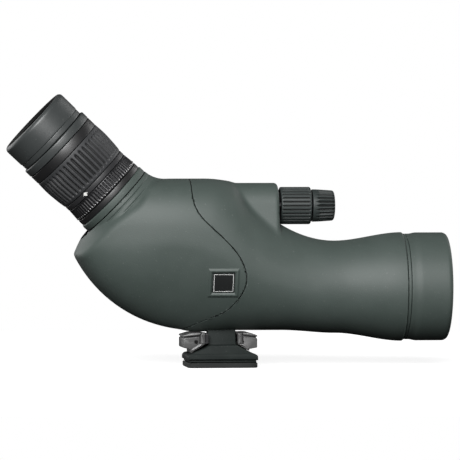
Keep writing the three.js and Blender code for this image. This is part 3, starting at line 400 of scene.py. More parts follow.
def sliced(spots, faces, planes, snap, near=None):
    """Cuts a mesh along planes of (place, normal): splits the faces near a spot, or drops the outer side."""
    mesh = bpy.data.meshes.new("sliced")
    mesh.from_pydata(spots.tolist(), [], faces)
    cutter = bmesh.new()
    cutter.from_mesh(mesh)
    for place, normal in planes:
        picked = [face for face in cutter.faces if near is None or near(face.calc_center_median())]
        edges = dict.fromkeys(edge for face in picked for edge in face.edges)
        corners = dict.fromkeys(corner for face in picked for corner in face.verts)
        bmesh.ops.bisect_plane(cutter, geom=[*corners, *edges, *picked], dist=snap, plane_co=place,
                               plane_no=normal, clear_outer=near is None)
    cutter.to_mesh(mesh)
    cutter.free()
    flat = np.empty(len(mesh.vertices) * 3)
    mesh.vertices.foreach_get("co", flat)
    faces = [tuple(face.vertices) for face in mesh.polygons]
    bpy.data.meshes.remove(mesh)
    return flat.reshape(-1, 3), faces


def seam_shift(spots):
    return np.outer(seam_x(spots[:, 2]), (1, 0, 0))


def beside_seam(spots, faces, side):
    """The skin on one side of the seam, -1 rear and 1 front, cut while the seam is laid straight."""
    plane = ((side * SEAM_HALF, 0, 0), (-side, 0, 0))
    spots, faces = sliced(spots - seam_shift(spots), faces, [plane], END_SNAP)
    return spots + seam_shift(spots), faces


def walled(spots, faces, normals, wall, roll):
    """Gives an open skin a wall inward, with its edges rolled over."""
    edges = dict.fromkeys((a, b) for face in faces for a, b in zip(face, face[1:] + face[:1]))
    rim = [(a, b) for a, b in edges if (b, a) not in edges]
    outward = np.zeros_like(spots)
    for a, b in rim:
        side = np.cross(spots[b] - spots[a], normals[a])
        side /= max(np.linalg.norm(side), 1e-9)
        outward[a] += side
        outward[b] += side
    rim_points = sorted({a for a, _ in rim} | {b for _, b in rim})
    lengths = np.linalg.norm(outward[rim_points], axis=1)
    outward[rim_points] /= np.maximum(lengths, 1e-9)[:, None]
    place = {v: i for i, v in enumerate(rim_points)}
    base = spots[rim_points].copy()
    out, up = outward[rim_points], normals[rim_points]
    outer = spots.copy()
    outer[rim_points] = base - out * roll
    rings = [base - out * roll * 0.3 - up * roll * 0.3, base - up * roll]
    stack = [outer] + rings + [spots - normals * wall]
    starts = np.cumsum([0] + [len(layer) for layer in stack])
    ids = [lambda v: v] + [lambda v, s=s: s + place[v] for s in starts[1:3]] + [lambda v: starts[3] + v]
    made = [tuple(face) for face in faces]
    made += [tuple(starts[3] + v for v in face[::-1]) for face in faces]
    for inner, outer_id in zip(ids, ids[1:]):
        made += [(inner(b), inner(a), outer_id(a), outer_id(b)) for a, b in rim]
    return np.concatenate(stack), made


def as_object(name, spots, faces, smooth=True):
    mesh = bpy.data.meshes.new(name)
    mesh.from_pydata((np.asarray(spots) * MM).tolist(), [], [tuple(int(v) for v in f) for f in faces])
    mesh.validate()
    if smooth:
        mesh.shade_smooth()
    piece = bpy.data.objects.new(name, mesh)
    bpy.context.scene.collection.objects.link(piece)
    return piece


BADGE_LOW, BADGE_HIGH = (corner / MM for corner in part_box("badge_plate"))
# The plate sits a little behind and above its place in the frame.
BADGE_SHIFT = Vector((-3.2, 0, 0.8))
BADGE_MIDDLE = (BADGE_LOW + BADGE_HIGH) / 2 + BADGE_SHIFT
BADGE_HALF = (BADGE_HIGH - BADGE_LOW) / 2
FRAME_REACH = 2.9
FRAME_RISE = 0.7
FRAME_ROWS = (0.1, 0.35, 0.8, 1.2, 1.7, 2.1, 2.5, FRAME_REACH)
SUNK = 0.45
END_SNAP = 0.01
ROW_SNAP = 0.02


def beyond_badge(x, z):
    """How far a point lies outside the badge's outline."""
    return np.maximum(np.abs(x - BADGE_MIDDLE.x) - BADGE_HALF.x, np.abs(z - BADGE_MIDDLE.z) - BADGE_HALF.z)


def badge_frame(spots, faces):
    """Raises a soft square round the badge and sinks the skin under its plate."""
    sides = ((BADGE_MIDDLE.x, BADGE_HALF.x, Vector((1, 0, 0))),
             (BADGE_MIDDLE.z, BADGE_HALF.z, Vector((0, 0, 1))))
    planes = [(normal * (middle + side * (half + reach)), normal)
              for reach in FRAME_ROWS for middle, half, normal in sides for side in (-1, 1)]
    spots, faces = sliced(spots, faces, planes, ROW_SNAP,
                          lambda spot: spot.y < 0 and beyond_badge(spot.x, spot.z) < FRAME_REACH + 1.6)
    normals = outward_of(body_depth, spots)
    over = beyond_badge(spots[:, 0], spots[:, 2])
    ridge = FRAME_RISE * swell(over, 0.1, 1.2) * (1 - swell(over, 1.7, FRAME_REACH))
    rise = ridge - SUNK * (1 - swell(over, 0.1, 0.35))
    return spots + normals * np.where(spots[:, 1] < 0, rise, 0)[:, None], faces, normals


NECK_GROOVES = (67.4, 70.4)
GROOVE_HALF = 0.7
GROOVE_DEPTH = 0.6
TOP_FADE = 0.85
EYE_CENTRE_MM = np.array(EYE_CENTRE) / MM


def ringed_neck(spots, faces):
    """Presses shallow grooves into the neck, fading towards its top, with rows of points added along each."""
    centre = Vector(EYE_CENTRE_MM)
    planes = [(centre + EYE_AXIS * (groove + side * GROOVE_HALF), EYE_AXIS)
              for groove in NECK_GROOVES for side in (-1, -0.5, 0, 0.5, 1)]
    spots, faces = sliced(spots, faces, planes, ROW_SNAP,
                          lambda spot: (spot - centre).dot(EYE_AXIS) > NECK_GROOVES[0] - 4)
    normals = outward_of(body_depth, spots)
    along = (spots - EYE_CENTRE_MM) @ np.array(EYE_AXIS)
    raised = (spots - EYE_CENTRE_MM) @ np.array(EYE_UP) / NECK_PROFILE[0][1]
    on_neck = (1 - swell(np.abs(neck_depth(*spots.T)), 0.1, 0.8)) * (1 - TOP_FADE * swell(raised, 0.6, 0.95))
    for groove in NECK_GROOVES:
        share = np.clip(np.abs(along - groove) / GROOVE_HALF, 0, 1)
        spots = spots - normals * (GROOVE_DEPTH * on_neck * (1 - swell(share, 0, 1)))[:, None]
    return spots, faces


SKIN_STEP = 0.85
skin_points, skin_quads = skin_of(body_depth, (-97, 0, 12), (110.5, 35, 118), SKIN_STEP)


def armour(name, side, end, end_normal):
    """One armour skin: cut at the seam and at its open end, given its wall, and near-black inside and on its
    seam walls as painted shade.
    """
    spots, faces = beside_seam(skin_points, skin_quads, side)
    spots, faces = sliced(spots, faces, [(end, end_normal)], END_SNAP)
    if side < 0:
        spots, faces = ringed_neck(spots, faces)
        spots, faces, normals = badge_frame(spots, faces)
    else:
        normals = outward_of(body_depth, spots)
    skin = as_object(name, *walled(spots, faces, normals, SKIN, EDGE_ROLL))
    # The inner face and the seam walls take the near-black finish: painted shade that makes the seam read as
    # a dark line.
    corner = np.array([min(face.vertices) for face in skin.data.polygons])
    inner = (np.arange(len(corner)) >= len(faces)) & (corner >= len(spots))
    skin.data.polygons.foreach_set("material_index", inner.astype(np.int32))
    return skin


rear_skin = armour("rear_armour_skin", -1, Vector(EYE_CENTRE_MM) + EYE_AXIS * NECK_END, EYE_AXIS)
front_skin = armour("front_armour_skin", 1, (BARREL_FRONT_X, 0, 0), (1, 0, 0))

# Two shader groups give every finish its moulded grain, and its dust and wear.


def node_group(kind, name, inputs, outputs):
    """A new node group with named sockets, what its inputs give, and its last node."""
    group = bpy.data.node_groups.new(name, kind)
    for label, socket_kind, value in inputs:
        socket = group.interface.new_socket(label, in_out="INPUT", socket_type="NodeSocket" + socket_kind)
        if value is not None:
            socket.default_value = value
    for label, socket_kind in outputs:
        group.interface.new_socket(label, in_out="OUTPUT", socket_type="NodeSocket" + socket_kind)
    return group, group.nodes.new("NodeGroupInput").outputs, group.nodes.new("NodeGroupOutput")


def moulded_grain_group():
    """Fine pebbled mould texture: a height, a slow mottle for the colour and a value for the roughness."""
    group, given, result = node_group(
        "ShaderNodeTree", "moulded_grain",
        [("Grain Size", "Float", 2200.0), ("Mottle Size", "Float", 60.0), ("Roughness", "Float", 0.5),
         ("Roughness Spread", "Float", 0.08)],
        [("Height", "Float"), ("Mottle", "Float"), ("Roughness", "Float")])
    place = add_node(group, "ShaderNodeTexCoord")["Object"]
    grain = {"Vector": place, "Scale": given["Grain Size"]}
    pebbles = add_node(group, "ShaderNodeTexVoronoi", {**grain, "Smoothness": 0.6}, feature="SMOOTH_F1")
    fine = add_node(group, "ShaderNodeTexNoise", {**grain, "Detail": 3.0})
    slow = add_node(group, "ShaderNodeTexNoise", {
        "Vector": place, "Scale": given["Mottle Size"], "Detail": 4.0, "Roughness": 0.6})
    centred = maths(group, "SUBTRACT", slow["Fac"], 0.5)
    wire(group, result, {
        "Height": maths(group, "MULTIPLY_ADD", fine["Fac"], 0.5, pebbles["Distance"]), "Mottle": slow["Fac"],
        "Roughness": maths(group, "MULTIPLY_ADD", centred, given["Roughness Spread"], given["Roughness"])})
    return group


def handling_group():
    """Dust that has settled in specks, and faint rubbed patches from handling."""
    group, given, result = node_group(
        "ShaderNodeTree", "handling", [("Amount", "Float", 1.0), ("Patch Size", "Float", 35.0)],
        [("Rubbed", "Float"), ("Dust", "Float")])
    place = add_node(group, "ShaderNodeTexCoord")["Object"]
    for mask, scale, low, high in (("Rubbed", given["Patch Size"], 0.52, 0.75), ("Dust", 900.0, 0.66, 0.74)):
        noise = add_node(group, "ShaderNodeTexNoise", {"Vector": place, "Scale": scale, "Detail": 5.0})
        window = add_node(group, "ShaderNodeMapRange", {
            "Value": noise["Fac"], "From Min": low, "From Max": high}, interpolation_type="SMOOTHSTEP")
        wire(group, result, {mask: maths(group, "MULTIPLY", window["Result"], given["Amount"])})
    return group


moulded_grain = moulded_grain_group()
handling = handling_group()
DUST_COLOUR = (0.45, 0.45, 0.42)
# Near-black painted into pressed grooves: painted shade, with a little grime.
GROOVE_SHADE_AND_GRIME_COLOUR = 0.003


def mix_colour(tree, share, *colours):
    """Mixes two colours. Each is a socket, its red, green and blue, or one value for a grey."""
    values = {0: share}
    for key, colour in zip((6, 7), colours):
        if isinstance(colour, float):
            colour = (colour,) * 3
        values[key] = (*colour, 1) if isinstance(colour, tuple) else colour
    return add_node(tree, "ShaderNodeMix", values, data_type="RGBA")[2]


def new_finish(name):
    finish = bpy.data.materials.new(name)
    finish.use_nodes = True
    return finish, finish.node_tree, finish.node_tree.nodes["Principled BSDF"]


def moulded(name, dark, light, roughness, grain=2200.0, grain_depth=0.03, spread=0.08, specular=0.4,
            metallic=0.0, rubbed=(0.30, 0.31, 0.30), rubbed_amount=0.10, dust_amount=0.10, groove_shade_and_grime=0.0):
    """A moulded or painted finish: mottled colour, pebbled grain, rubbed patches, a little dust and painted
    shade in grooves.
    """
    finish, tree, shader = new_finish(name)
    grains = add_node(tree, "ShaderNodeGroup", {
        "Grain Size": grain, "Roughness": roughness, "Roughness Spread": spread}, node_tree=moulded_grain)
    marks = add_node(tree, "ShaderNodeGroup", node_tree=handling)
    colour = mix_colour(tree, grains["Mottle"], dark, light)
    layers = [(marks["Rubbed"], rubbed_amount, rubbed), (marks["Dust"], dust_amount, DUST_COLOUR)]
    # Grooves are darkened towards near-black: painted shade, with a little grime.
    if groove_shade_and_grime:
        groove = add_node(tree, "ShaderNodeAttribute", attribute_name="groove")
        layers.append((groove["Fac"], groove_shade_and_grime, GROOVE_SHADE_AND_GRIME_COLOUR))
    for mask, amount, tone in layers:
        colour = mix_colour(tree, maths(tree, "MULTIPLY", mask, amount), colour, tone)
    bump = add_node(tree, "ShaderNodeBump", {
        "Strength": 0.6, "Distance": grain_depth * MM, "Height": grains["Height"]})
    wire(tree, shader, {
        "Base Color": colour, "Roughness": grains["Roughness"], "Metallic": metallic,
        "Specular IOR Level": specular, "Normal": bump["Normal"]})
    return finish


armour_rubber = moulded("armour_rubber", (0.038, 0.052, 0.046), (0.054, 0.071, 0.064), 0.6, grain=1500.0,
                        grain_depth=0.06, specular=0.55, rubbed=(0.10, 0.115, 0.108))
# A near-black finish that paints the shade inside hollows, seams and openings.
painted_shade_black = moulded("painted_shade_black", 0.004, 0.007, 0.7, grain_depth=0.03,
                      specular=0.1)
for skin, node in ((rear_skin, "rear_armour"), (front_skin, "front_armour")):
    skin.data.materials.append(armour_rubber)
    skin.data.materials.append(painted_shade_black)
    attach(skin, "housing")
    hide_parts(node)

# ---------------------------------------------------------------- neck collar and lock band
# A rubber-covered collar sits at the end of the neck, and a polished black metal band comes after it.
# Both are turned rings, fixed to the housing. Rounded corners catch the light as the real edges do.
FRAMES = {
    "eye": (EYE_CENTRE_MM, np.array(EYE_AXIS), np.array(EYE_UP)),
    "scope": (np.array([0, 0, OPTICAL_Z]), np.array([1.0, 0, 0]), np.array([0, 0, 1.0])),
    "focus": (np.array([0, 0, 94.6]), np.array([1.0, 0, 0]), np.array([0, 0, 1.0])),
    "upright": (np.zeros(3), np.array([0, 0, 1.0]), np.array([1.0, 0, 0])),
}


def eased(profile, arc_steps=4):
    """A closed outline with each corner rounded by its own radius. A corner is (along, radius, rounding)."""
    outline = []
    count = len(profile)
    for i, (along, out, rounding) in enumerate(profile):
        corner = np.array([along, out], float)
        before = np.array(profile[i - 1][:2], float)
        after = np.array(profile[(i + 1) % count][:2], float)
        back, ahead = before - corner, after - corner
        reach = min(rounding, np.linalg.norm(back) * 0.45, np.linalg.norm(ahead) * 0.45)
        if reach < 1e-3:
            outline.append(corner)
            continue
        start = corner + back / np.linalg.norm(back) * reach
        end = corner + ahead / np.linalg.norm(ahead) * reach
        for k in range(arc_steps + 1):
            t = k / arc_steps
            outline.append((1 - t) ** 2 * start + 2 * t * (1 - t) * corner + t ** 2 * end)
    return np.array(outline)


def finely(outline, longest, beyond):
    """Adds points along the parts of an outline that lie beyond a radius."""
    fine = []
    for i, point in enumerate(outline):
        after = outline[(i + 1) % len(outline)]
        outer = min(point[1], after[1]) > beyond
        steps = max(1, math.ceil(np.linalg.norm(after - point) / longest)) if outer else 1
        fine += [lerp(point, after, k / steps) for k in range(steps)]
    return np.array(fine)


def faced_outward(piece, sharp=35, cut_up=False):
    """Turns a piece's faces outward and keeps its sharper edges. Its large faces can be cut up."""
    sort = bmesh.new()
    sort.from_mesh(piece.data)
    if cut_up:
        bmesh.ops.triangulate(sort, faces=[face for face in sort.faces if len(face.verts) > 4])
    bmesh.ops.recalc_face_normals(sort, faces=sort.faces[:])
    sort.to_mesh(piece.data)
    sort.free()
    piece.data.set_sharp_from_angle(angle=math.radians(sharp))
    return piece


def turned(name, frame_name, profile, segments=192, longest=50.0, beyond=0.0):
    """A ring or disc turned from a closed outline about one of the scope's axes."""
    centre, axis, up = FRAMES[frame_name]
    side = np.cross(axis, up)
    outline = finely(eased(profile), longest, beyond)
    on_axis = outline[:, 1] < 1e-6
    angles = np.arange(segments) * 2 * math.pi / segments
    spokes = np.cos(angles)[:, None] * up + np.sin(angles)[:, None] * side
    spots, rings = [], []
    for (along, out), single in zip(outline, on_axis):
        first = len(spots)
        if single:
            spots.append(centre + axis * along)
            rings.append([first] * segments)
        else:
            spots.extend(centre + axis * along + spokes * out)
            rings.append(list(range(first, first + segments)))
    faces = []
    for here, there in zip(rings, rings[1:] + rings[:1]):
        for k in range(segments):
            n = (k + 1) % segments
            corners = [here[k], here[n], there[n], there[k]]
            kept = [v for i, v in enumerate(corners) if v != corners[i - 1]]
            if len(kept) > 2:
                faces.append(kept)
    return faced_outward(as_object(name, spots, faces), 50)


def fit(piece, finish, body, slot, *replaced):
    """Gives a piece its finish and fixes it to the body that it moves with."""
    if not piece.data.materials:
        piece.data.materials.append(finish)
    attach(piece, body)
    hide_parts(*replaced)


collar = turned("neck_collar_cover", "eye", [
    (73.6, 21.3, 0), (73.6, 24.1, 0.5), (77.7, 24.1, 0.9), (77.7, 21.3, 0)], 256)
fit(collar, armour_rubber, "housing", "armour", "neck_collar")

gloss_black = moulded("gloss_black", (0.006, 0.006, 0.0065), (0.011, 0.011, 0.0115), 0.42, grain=900.0,
                      grain_depth=0.004, spread=0.1, specular=0.9, rubbed=0.03, dust_amount=0.05)
band = turned("base_band_ring", "eye", [
    (78, 21.3, 0), (78, 23.5, 0.25), (81.2, 23.5, 0.35), (81.2, 21.3, 0)], 256)
fit(band, gloss_black, "housing", "gloss_black", "base_band")

# ---------------------------------------------------------------- lock ring
# A narrow black metal ring that turns to free the eyepiece. Fine grooves are milled across it for grip, and
# a ring of small bright metal beads along the edge next to the body paints the glints on the tooth ends.
LOCK_TEETH = 70
AXIS_INPUTS = [("Geometry", "Geometry", None), ("Centre", "Vector", None), ("Axis", "Vector", None),
               ("Up", "Vector", None), ("Material", "Material", None)]


def vectors(tree, operation, a, b, output="Vector"):
    second = "Scale" if operation == "SCALE" else 1
    return add_node(tree, "ShaderNodeVectorMath", {0: a, second: b}, operation=operation)[output]


def axis_tree(name, numbers, count_kind="Float"):
    """An empty tree for work about an axis: what its inputs give, its last node, and its two kinds of sum."""
    inputs = AXIS_INPUTS + [("Count", count_kind, None)] + [(label, "Float", None) for label in numbers]
    tree, given, result = node_group("GeometryNodeTree", name, inputs, [("Geometry", "Geometry")])
    return tree, given, result, partial(maths, tree), partial(vectors, tree)


def end_painted(tree, result, geometry, material):
    """Ends a tree in plain geometry of one material."""
    plain = add_node(tree, "GeometryNodeRealizeInstances", {0: geometry})
    painted = add_node(tree, "GeometryNodeSetMaterial", {"Geometry": plain[0], "Material": material})
    wire(tree, result, {0: painted[0]})


def flutes_tree():
    """Presses evenly spaced grooves into a turned piece, each running along its axis."""
    tree, given, result, number, vector = axis_tree("flutes", (
        "Depth", "Half Width", "Flat", "Start", "Start Fade", "End", "End Fade", "Pointed", "From Radius"))

    def ramp(*values):
        return add_node(tree, "ShaderNodeMapRange", enumerate(values), interpolation_type="SMOOTHSTEP")[0]

    offset = vector("SUBTRACT", add_node(tree, "GeometryNodeInputPosition")[0], given["Centre"])
    along = vector("DOT_PRODUCT", offset, given["Axis"], "Value")
    across = vector("SUBTRACT", offset, vector("SCALE", given["Axis"], along))
    radius = vector("LENGTH", across, (0, 0, 0), "Value")
    upward = vector("DOT_PRODUCT", across, given["Up"], "Value")
    sideways = vector("DOT_PRODUCT", across, vector("CROSS_PRODUCT", given["Axis"], given["Up"]), "Value")
    turns = number("MULTIPLY", number("ARCTAN2", sideways, upward),
                   number("DIVIDE", given["Count"], 2 * math.pi))
    share = number("ABSOLUTE", number("SUBTRACT", number("FRACT", number("ADD", turns, 0.5)), 0.5))
    pitch = number("DIVIDE", number("MULTIPLY", radius, 2 * math.pi), given["Count"])
    risen = ramp(along, given["Start"], number("ADD", given["Start"], given["Start Fade"]), 0.0, 1.0)
    fallen = ramp(along, number("SUBTRACT", given["End"], given["End Fade"]), given["End"], 1.0, 0.0)
    reach = number("MULTIPLY", risen, fallen)
    narrowed = number("SUBTRACT", 1.0, number("MULTIPLY", given["Pointed"], number("SUBTRACT", 1.0, reach)))
    width = number("MAXIMUM", number("MULTIPLY", given["Half Width"], narrowed), 1e-6)
    cut = ramp(number("DIVIDE", number("MULTIPLY", share, pitch), width), given["Flat"], 1.0, 1.0, 0.0)
    cut = number("MULTIPLY", number("MULTIPLY", cut, reach),
                 number("GREATER_THAN", radius, given["From Radius"]))
    inward = number("DIVIDE", number("MULTIPLY", number("MULTIPLY", cut, given["Depth"]), -1.0),
                    number("MAXIMUM", radius, 1e-6))
    noted = add_node(tree, "GeometryNodeStoreNamedAttribute", {
        "Name": "groove", "Geometry": given["Geometry"], "Value": cut}, data_type="FLOAT")
    moved = add_node(tree, "GeometryNodeSetPosition", {
        "Geometry": noted[0], "Offset": vector("SCALE", across, inward)})
    end_painted(tree, result, moved[0], given["Material"])
    return tree


def grown(piece, tree, values):
    """Runs a node tree over a piece and keeps its result as a plain mesh."""
    modifier = piece.modifiers.new(tree.name, "NODES")
    modifier.node_group = tree
    for item in tree.interface.items_tree:
        if item.in_out == "INPUT" and item.name in values:
            modifier[item.identifier] = values[item.name]
    piece.update_tag()
    depsgraph = bpy.context.evaluated_depsgraph_get()
    made = bpy.data.meshes.new_from_object(piece.evaluated_get(depsgraph), preserve_all_data_layers=True,
                                           depsgraph=depsgraph)
    piece.modifiers.remove(modifier)
    old = piece.data
    piece.data = made
    bpy.data.meshes.remove(old)
    made.name = piece.name
    return piece


flutes = flutes_tree()


def frame_values(frame_name):
    centre, axis, up = FRAMES[frame_name]
    return {"Centre": [float(v) * MM for v in centre], "Axis": [float(v) for v in axis],
            "Up": [float(v) for v in up]}


def fluted(piece, frame_name, finish, count, depth, half_width, flat, start, start_fade, end, end_fade,
           pointed, from_radius):
    """Presses a ring of grooves into a piece and marks them, so that a finish can darken them with painted
    shade.
    """
    return grown(piece, flutes, {
        **frame_values(frame_name), "Count": float(count), "Depth": depth * MM, "Half Width": half_width * MM,
        "Flat": flat, "Start": start * MM, "Start Fade": start_fade * MM, "End": end * MM,
        "End Fade": end_fade * MM, "Pointed": pointed, "From Radius": from_radius * MM, "Material": finish})


def beads_tree():
    """A ring of small rounded beads about an axis."""
    tree, given, result, number, vector = axis_tree("beads", ("Along", "Ring Radius", "Bead Radius"), "Int")
    row = add_node(tree, "GeometryNodeMeshLine", {"Count": given["Count"]})
    place = add_node(tree, "GeometryNodeInputIndex")[0]
    turn = number("DIVIDE", number("MULTIPLY", place, 2 * math.pi), given["Count"])
    side = vector("CROSS_PRODUCT", given["Axis"], given["Up"])
    spoke = vector("ADD", vector("SCALE", given["Up"], number("COSINE", turn)),
                   vector("SCALE", side, number("SINE", turn)))
    spot = vector("ADD", vector("SCALE", spoke, given["Ring Radius"]),
                  vector("SCALE", given["Axis"], given["Along"]))
    ring = add_node(tree, "GeometryNodeSetPosition", {
        "Geometry": row[0], "Position": vector("ADD", spot, given["Centre"])})
    bead = add_node(tree, "GeometryNodeMeshIcoSphere", {"Subdivisions": 2, "Radius": given["Bead Radius"]})
    each = add_node(tree, "GeometryNodeInstanceOnPoints", {"Points": ring[0], "Instance": bead[0]})
    end_painted(tree, result, each[0], given["Material"])
    return tree


black_metal = moulded("black_metal", (0.013, 0.013, 0.014), (0.022, 0.022, 0.024), 0.36, grain=3000.0,
                      grain_depth=0.01, spread=0.12, specular=0.5, metallic=0.35, rubbed=0.12,
                      rubbed_amount=0.2)
lock = turned("lock_ring_knurled", "eye", [
    (81.5, 17.3, 0), (81.5, 23.2, 0.3), (82.3, 23.5, 0.3), (89.2, 22.9, 0.4), (89.2, 17.3, 0)],
    LOCK_TEETH * 10, 0.45, 22.0)
fluted(lock, "eye", black_metal, LOCK_TEETH, 0.5, 0.62, 0.25, 82.6, 0.5, 88.7, 0.6, 0, 22.0)
fit(lock, black_metal, "lock_ring", "black_metal", "lock_ring")

# Bright beads that paint the glints on the tooth ends.
glint_bead_metal = moulded("glint_bead_metal", 0.25, 0.5, 0.35, grain=3000.0, grain_depth=0.005,
                     metallic=0.8, rubbed_amount=0.1)
beads = as_object("lock_ring_glint_beads", [(0, 0, 0)], [])
grown(beads, beads_tree(), {
    **frame_values("eye"), "Count": LOCK_TEETH, "Along": 82.45 * MM, "Ring Radius": 23.22 * MM,
    "Bead Radius": 0.5 * MM, "Material": glint_bead_metal})
beads.data.shade_smooth()
fit(beads, glint_bead_metal, "lock_ring", "black_metal", "lock_ring")

# ---------------------------------------------------------------- index band
# A fixed black metal band between the lock ring and the zoom ring. A white triangle painted on it is the mark
# that the zoom scale is read against. It lies on the right side, a little below the middle.
matt_black = moulded("matt_black", (0.018, 0.018, 0.019), (0.028, 0.028, 0.03), 0.42, grain=2500.0,
                     grain_depth=0.012, rubbed=0.08)
index_ring = turned("index_band_ring", "eye", [
    (89.5, 17.3, 0), (89.5, 22.95, 0.3), (92.3, 22.95, 0.3), (92.3, 17.3, 0)], 256)
fit(index_ring, matt_black, "housing", "black_metal", "index_band")

MARK_ANGLE = -27.0


def painted_mark(name, outline, radius, angle, thickness=0.03, sunk=0.05):
    """A thin flat mark wrapped on a round band. Outline points are (along, round), in millimetres."""
    centre, axis, up = FRAMES["eye"]
    side = np.array([0, -1.0, 0])
    spots = []
    for out in (radius - sunk, radius + thickness):
        for along, around in [tuple(np.mean(outline, axis=0))] + list(outline):
            a = math.radians(angle) + around / radius
            spots.append(centre + axis * along + (side * math.cos(a) + up * math.sin(a)) * out)
    count = len(outline)
    base = count + 1
    faces = []
    for k in range(count):
        a, b = 1 + k, 1 + (k + 1) % count
        faces += [(0, b, a), (base, base + a, base + b), (a, b, base + b, base + a)]
    return faced_outward(as_object(name, spots, faces, smooth=False))


white_paint = moulded("white_paint", (0.62, 0.62, 0.60), (0.8, 0.8, 0.78), 0.5, grain=3000.0,
                      grain_depth=0.01, rubbed=0.4, rubbed_amount=0.3)
mark = painted_mark("index_triangle", [
    (89.75, -0.6), (90.7, -0.6), (90.7, -1.9), (92.15, 0), (90.7, 1.9), (90.7, 0.6), (89.75, 0.6)],
    22.95, MARK_ANGLE)
fit(mark, white_paint, "housing", "black_metal", "index_band")

# ---------------------------------------------------------------- zoom ring
# A rubber sleeve with raised rounded ribs, swollen towards the eye, turns on a brass sleeve to change the
# magnification. A smooth gloss band that would carry the scale comes next to it and turns with it.
ZOOM_RIBS = 46
# The grooves between its ribs are darkened with painted shade.
grip_rubber = moulded("grip_rubber", (0.024, 0.025, 0.027), (0.036, 0.037, 0.039), 0.55, grain=2400.0,
                      grain_depth=0.02, specular=0.4, rubbed=0.09, rubbed_amount=0.15,
                      dust_amount=0.03, groove_shade_and_grime=0.85)
zoom_grip = turned("zoom_grip_ribbed", "eye", [
    (92.6, 19.3, 0), (92.6, 22.9, 0.3), (93.6, 23.2, 0.8), (97.2, 23.7, 1.5), (105, 24.3, 2.5),
    (109.5, 24.2, 2), (113.4, 24.0, 0.35), (113.4, 19.3, 0)], ZOOM_RIBS * 12, 0.55, 22.6)
fluted(zoom_grip, "eye", grip_rubber, ZOOM_RIBS, 1.15, 1.15, 0.05, 93.8, 1.3, 112.0, 1.6, 0.5, 22.6)
fit(zoom_grip, grip_rubber, "zoom_ring", "black_rubber", "zoom_grip")
scale_band = turned("zoom_scale_ring", "eye", [
    (113.7, 19.3, 0), (113.7, 24.0, 0.3), (119.2, 24.0, 0.35), (119.2, 19.3, 0)], 256)
fit(scale_band, gloss_black, "zoom_ring", "gloss_black", "zoom_scale_band")

# ---------------------------------------------------------------- eyepiece head and eyecup
# The head is a fixed ring below the eyecup, with a ridged bore round the eye lens to kill stray light.
# The eyecup is a soft rubber cup that twists out. A fine groove runs round it above its plain base.
cup_rubber = moulded("cup_rubber", (0.028, 0.032, 0.032), (0.042, 0.046, 0.046), 0.42, grain=1800.0,
                     grain_depth=0.03, specular=0.6, rubbed=(0.09, 0.10, 0.10))


def blackened_with_painted_shade(piece, finish, inside_radius, beyond):
    """Two finishes on an eyepiece ring: its own outside, and near-black inside and past a height, painting
    the opening's shade.
    """
    piece.data.materials.append(finish)
    piece.data.materials.append(painted_shade_black)
    centre, axis, _ = FRAMES["eye"]
    for face in piece.data.polygons:
        offset = np.array(face.center) / MM - centre
        along = offset @ axis
        out = np.linalg.norm(offset - axis * along)
        face.material_index = 1 if out < inside_radius or along > beyond else 0


head = turned("eyepiece_head_ring", "eye", [
    (119.5, 15.5, 0), (119.5, 24.1, 0.5), (124.3, 24.1, 0.9), (124.3, 19.2, 0), (135.5, 19.2, 0.4),
    (135.5, 16.6, 0.6), (134.6, 15.9, 0.1), (134.2, 16.3, 0.1), (133.6, 15.8, 0.1), (133.2, 16.2, 0.1),
    (132.6, 15.7, 0.1), (132.2, 16.0, 0.1), (131.9, 15.5, 0.1)], 256)
blackened_with_painted_shade(head, cup_rubber, 22.0, 124.9)
fit(head, cup_rubber, "housing", "armour", "eyepiece_head")
cup = turned("eyecup_rubber", "eye", [
    (124.6, 21.3, 0), (124.6, 22.75, 0.6), (127.85, 22.75, 0.25), (128.05, 22.45, 0.1), (128.25, 23.0, 0.25),
    (134.0, 23.1, 2), (140.1, 23.1, 1.4), (141.6, 21.7, 0.8), (141.6, 19.6, 0.5), (139.8, 18.6, 0.4),
    (139.8, 21.3, 0)], 256, 1.2, 22.4)
# The cup is near-black inside: painted shade in the eyepiece's opening.
blackened_with_painted_shade(cup, cup_rubber, 21.0, 200.0)
fit(cup, cup_rubber, "eyecup", "armour", "eyecup")
lens_retainer = turned("eye_lens_retainer_ring", "eye", [
    (129.8, 13.6, 0.1), (129.8, 15.2, 0), (131.8, 15.2, 0.1), (131.8, 14.6, 0.2), (131.2, 14.2, 0.1),
    (130.9, 14.4, 0.1), (130.5, 13.9, 0.1)], 192)
fit(lens_retainer, matt_black, "housing", "black_metal", "eye_lens_retainer")
# The guide sleeve is painted near-black, as shade inside the cup.
sleeve = turned("eyecup_guide_sleeve", "eye", [
    (124.6, 19.5, 0), (124.6, 21.0, 0.2), (139.5, 21.0, 0.2), (139.5, 19.5, 0.2)], 192)
fit(sleeve, painted_shade_black, "eyecup_guide", "black_metal", "eyecup_sleeve")

# ---------------------------------------------------------------- focus knobs
# Two rubber-covered knobs on one line: the coarse knob has close ribs with narrow grooves, and the slimmer
# fine knob in front has flutes that start in a point and run out over its rounded end.
# The grooves of both knobs are darkened with painted shade.
knob_rubber = moulded("knob_rubber", (0.020, 0.026, 0.025), (0.031, 0.038, 0.037), 0.5, grain=2400.0,
                      grain_depth=0.02, specular=0.4, rubbed=(0.09, 0.10, 0.10), rubbed_amount=0.2,
                      dust_amount=0.03, groove_shade_and_grime=0.9)
COARSE_RIBS = 28
coarse = turned("coarse_knob_ribbed", "focus", [
    (35.3, 8.8, 0), (35.3, 11, 1.3), (53.4, 11, 1.3), (53.4, 8.8, 0)], COARSE_RIBS * 16, 0.45, 9.2)
fluted(coarse, "focus", knob_rubber, COARSE_RIBS, 0.85, 0.6, 0.3, 36.0, 0.6, 52.6, 0.6, 0, 9.2)
fit(coarse, knob_rubber, "coarse_knob", "black_rubber", "coarse_grip")
FINE_FLUTES = 24
